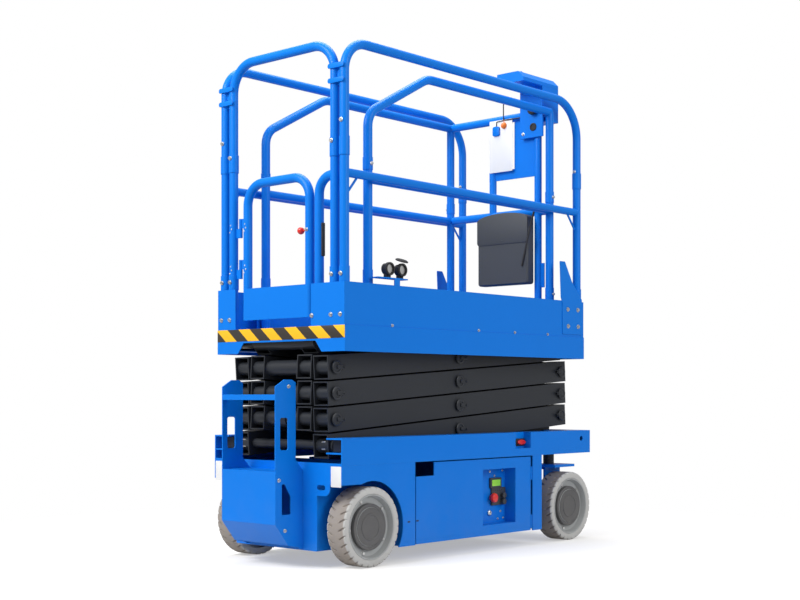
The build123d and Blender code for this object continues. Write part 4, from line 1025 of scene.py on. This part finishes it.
@dataclass
class Pouch:
    """Manual holder: a crowned moulded shell with an arched lid, a snap and a strap."""

    crown: float = 0.006
    rings: int = 9
    corner: float = 0.014
    arch: float = 0.033
    lid_drop: float = 0.150
    strap: Spots = mm(-200, 1300, -255, 1500, -272, 1552)

    def outline(self, half: float, bottom: float, shoulder: float, top: float) -> Outline:
        """Box with rounded lower corners under an arch z = shoulder + (top - shoulder) sin t."""
        quarter = np.linspace(0, np.pi / 2, 6)
        drop = self.corner * (1 - np.stack([np.cos(quarter), np.sin(quarter)], axis=-1))
        left = (-half, bottom) + drop
        turn = np.linspace(0, np.pi, 25)
        arch = np.stack([half * np.cos(turn), shoulder + (top - shoulder) * np.sin(turn)], axis=-1)
        return np.concatenate([left, left[::-1] * (-1, 1), arch])

    def build(self) -> None:
        """Builds the holder in place of its CAD solid."""
        low, high = span("document_box")
        middle = (low[1] + high[1]) / 2
        half = (high[1] - low[1]) / 2 - 0.001
        shoulder, lid_low = high[2] - self.arch, high[2] - self.lid_drop
        share = np.linspace(0, 1, self.rings)
        insets = self.crown * (1 - np.sqrt(np.clip(1 - (2 * share - 1) ** 8, 0, 1)))
        front = self.outline(half, low[2] + 0.001, shoulder, high[2] - 0.001)
        shell = layered(front, insets, 0.001 + share * (high[0] - low[0] - 0.004))
        shell = placed(shell, (high[0], middle, 0.0), REAR, RIGHT)
        piece = make("document_pouch", PLASTIC, "extension", shell)
        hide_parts("document_box")
        lid = prism(self.outline(half + 0.0008, lid_low, shoulder, high[2] - 0.0005), 0.0036, 0.0012)
        flap = placed(lid, (low[0] + 0.0038, middle, 0.0), REAR, RIGHT)
        snap = dome(0.004, 0.002, (low[0] + 0.0002, middle, lid_low + 0.016), REAR)
        make("document_pouch_lid", PLASTIC, "extension", flap, snap)
        strap = wire([(low[0] - 0.001, y, z) for y, z in self.strap], 0.0045, FRONT, 0.02)
        make("document_pouch_strap", RUBBER, "extension", strap)


@dataclass
class GroundPanel:
    """Ground controls in the right door's recess: blank display, black panel, red stop button and key."""

    display: Spot = (0.262, 0.293)
    board: Spot = (0.283, 0.232)
    stop: Spot = (0.232, 0.228)
    key: Spot = (0.222, 0.160)
    screws: Spots = mm(227, 345, 320, 346, 260, 325, 305, 163, 285, 130, 325, 132)
    grip: Spots = mm(0, 0, 10, 0, 10, 8, 13, 10, 13, 18, 0, 19)
    button: Spots = mm(0, 0, 12, 0, 12, 12, 21, 14, 22, 18, 19, 26, 10, 30, 0, 31)
    lock: Spots = mm(0, 0, 12, 0, 12, 6, 9, 8, 6, 8, 5.5, 5, 0, 5)

    def build(self) -> None:
        """Builds the controls on the right tray."""
        wall = span("ground_control_box")[1][1] - 0.004
        x, z = self.board

        def plate(size: Spot, thick: float, spot: Spot, lift: float, corner: float) -> Shape:
            """Plate on the recess's wall, lifted off it."""
            return panel(size, thick, (spot[0], wall - lift, spot[1]), RIGHT, FRONT, corner)

        case = plate((0.080, 0.046), 0.010, self.display, 0, 0.004)
        board = plate((0.100, 0.078), 0.008, self.board, 0, 0.004)
        face = wall - 0.008
        row = [dome(0.0045, 0.004, (x - 0.040 + 0.016 * k, face, z + 0.030), RIGHT) for k in range(5)]
        grips = [turned(self.grip, 28, (x + 0.022, face, z + rise), RIGHT) for rise in (0.004, -0.024)]
        make("ground_panel_board", PLASTIC, "right_tray", case, board, *row, *grips)
        glass = plate((0.060, 0.028), 0.0015, self.display, 0.010, 0.002)
        make("ground_panel_display", SCREEN, "right_tray", glass)
        stop = turned(self.button, 36, (self.stop[0], wall - 0.004, self.stop[1]), RIGHT)
        make("ground_stop_button", RED, "right_tray", stop)
        key = turned(self.lock, 28, (self.key[0], wall, self.key[1]), RIGHT)
        spots = heads([(x, wall, z) for x, z in self.screws], RIGHT, 0.0042, 0.003)
        make("ground_panel_key_and_screws", STEEL, "right_tray", key, spots)


@dataclass
class ChassisTrim:
    """Blank labels, side lamps, door slots and ladder bolts."""

    label_low: float = 0.327
    label_high: float = 0.408
    label_inner: float = 0.318
    lamp: Spot = (0.420, 0.472)
    skin_slot: float = -0.391
    door_slot: float = -0.332
    slot_height: float = 0.167
    half_width: float = 0.380
    ladder_bolts: Spots = mm(-860, 722, -912, 352, -880, 152)

    def build(self) -> None:
        """Builds the pieces on the chassis and on the trays."""
        low, high = span("tail_frame")
        width, tall = high[1] - self.label_inner, self.label_high - self.label_low
        across, up = self.label_inner + width / 2, self.label_low + tall / 2
        middles = [(low[0], side.value * across, up) for side in Side]
        labels = [panel((width, tall), 0.0008, middle, REAR, LEFT, 0.002) for middle in middles]
        make("blank_rear_labels", WHITE, "chassis", *labels)
        lamps, frames, bolts = [], [], []
        for side in Side:
            x, z = self.lamp
            names = (f"{side.word}_lamp_notch", f"{side.word}_door")
            notch, door = (np.abs([corner[1] for corner in span(name)]) for name in names)
            wall = side.value * (notch.min() + 0.004)
            lens = prism(circle(1.0, 28) * (0.030, 0.012), 0.010, 0.004, 5)
            lamps.append(placed(lens, (x, wall + side.value * 0.003, z), side.out, FRONT))
            frames.append(panel((0.072, 0.034), 0.004, (x, wall, z), side.out, FRONT, 0.012))
            face = side.value * (door.max() - 0.0045)
            for part, x, y, body in (
                ("skin", self.skin_slot, side.value * self.half_width, "chassis"),
                ("door", self.door_slot, face, f"{side.word}_tray"),
            ):
                slot = panel((0.016, 0.006), 0.0006, (x, y, self.slot_height), side.out, FRONT, 0.0028)
                make(f"{side.word}_{part}_slot", RUBBER, body, slot)
            plate = side.value * span("entry_ladder")[1][1]
            bolts.append(heads([(x, plate, z) for x, z in self.ladder_bolts], side.out, 0.006))
        make("side_lamp_lenses", RED, "chassis", *lamps)
        make("side_lamp_frames", RUBBER, "chassis", *frames)
        make("ladder_bolts", STEEL, "chassis", *bolts)


@dataclass
class StackTrim:
    """Hexagon collars on the base shaft."""

    collar: float = 0.226
    across: float = 0.033
    thick: float = 0.022

    def build(self) -> None:
        """Builds the collars, on the shaft that the lowest bars carry."""
        low, high = span("base_shaft")
        x, _, z = (low + high) / 2
        nut = prism(circle(self.across, 6), self.thick, 0.002)
        nuts = [placed(nut, (x, side.value * self.collar, z), side.out) for side in Side]
        make("base_shaft_nuts", STEEL, "outer_arm_1", *nuts)


@dataclass
class Studio:
    """Pale floor, soft lamps and the photograph's camera, which stands level with its picture shifted."""

    place: Vec = (-4.521, -4.042, 0.691)
    heading: float = 41.94
    lens: float = 60.515
    shift: float = 0.1178
    floor_color: Colour = (0.62, 0.61, 0.60)
    floor_glow: float = 0.41
    sky: float = 0.48
    lamps: tuple[tuple[str, Vec, Vec, float, float], ...] = (
        ("key_lamp", (-4.5, 0.8, 4.2), (0.0, 0.0, 1.0), 3.0, 290.0),
        ("side_lamp", (0.5, -5.5, 3.4), (0.0, 0.0, 0.9), 3.5, 150.0),
        ("top_lamp", (0.4, 0.6, 5.0), (0.0, 0.0, 1.0), 3.0, 150.0),
    )

    def floor(self) -> None:
        """A pale floor that keeps the shadow and fades into the white surround."""
        shape = turned([(radius, 0.0) for radius in (0.001, 1.0, 3.0, 9.0)], 96)
        mesh = bpy.data.meshes.new("studio_floor")
        mesh.from_pydata(shape.points.tolist(), [], shape.faces)
        mesh.flip_normals()
        floor = linked("studio_floor", mesh)
        material = bpy.data.materials.new("studio_floor_white")
        pen = fresh(material)
        seen = pen.add("LightPath").outputs
        either = pen.math("MAXIMUM", seen["Is Camera Ray"], seen["Is Glossy Ray"])
        glow = pen.out("Emission", Strength=pen.math("MULTIPLY", either, self.floor_glow))
        both = pen.out("AddShader", pen.out("BsdfDiffuse", Color=self.floor_color), glow)
        length = pen.add("VectorMath", pen.place(), operation="LENGTH").outputs["Value"]
        away = pen.math("MULTIPLY_ADD", length, 0.8, -1.0, clamp=True)
        pen.add("OutputMaterial", Surface=pen.out("MixShader", away, both, pen.out("BsdfTransparent")))
        mesh.materials.append(material)

    def world(self) -> None:
        """White behind the object for the camera, and a soft grey light for the rest."""
        world = bpy.data.worlds.new("studio_world")
        bpy.context.scene.world = world
        pen = fresh(world)
        soft, white = (pen.out("Background", Color=(1.0, 1.0, 1.0), Strength=s) for s in (self.sky, 1.0))
        seen = pen.add("LightPath").outputs["Is Camera Ray"]
        pen.add("OutputWorld", Surface=pen.out("MixShader", seen, soft, white))

    def lamp(self, name: str, place: Vec, target: Vec, size: float, power: float) -> None:
        """One square area lamp aimed at a point.

        Args:
            name: the lamp's name.
            place: where it hangs.
            target: what it points at.
            size: its side.
            power: its power in watts.
        """
        data = bpy.data.lights.new(name, "AREA")
        data.size = size
        data.energy = power
        lamp = linked(name, data)
        lamp.location = place
        x, y, z = np.array(target) - np.array(place)
        lamp.rotation_euler = (math.atan2(math.hypot(x, y), -z), 0.0, math.atan2(y, x) - math.pi / 2)

    def camera(self) -> None:
        """The photograph's camera."""
        data = bpy.data.cameras.new("photo_camera")
        data.sensor_width = 36.0
        data.lens = self.lens
        data.shift_y = self.shift
        camera = linked("photo_camera", data)
        camera.location = self.place
        camera.rotation_euler = (math.pi / 2, 0.0, math.radians(self.heading - 90))
        bpy.context.scene.camera = camera

    def build(self) -> None:
        """Sets the stage."""
        self.camera()
        self.floor()
        self.world()
        for lamp in self.lamps:
            self.lamp(*lamp)
        bpy.context.scene.view_settings.view_transform = "Standard"


def main() -> None:
    """Builds the studio and each sub-assembly in order."""
    logging.basicConfig(level=logging.INFO, format="%(message)s")
    Studio().build()
    dress()
    platform = (RearTrim, GateTrim, SideTrim, Outlet, ControlStation, Pouch)
    for trim in (Wheels, ScissorPins, *platform, GroundPanel, ChassisTrim, StackTrim):
        trim().build()


if __name__ == "__main__":
    main()
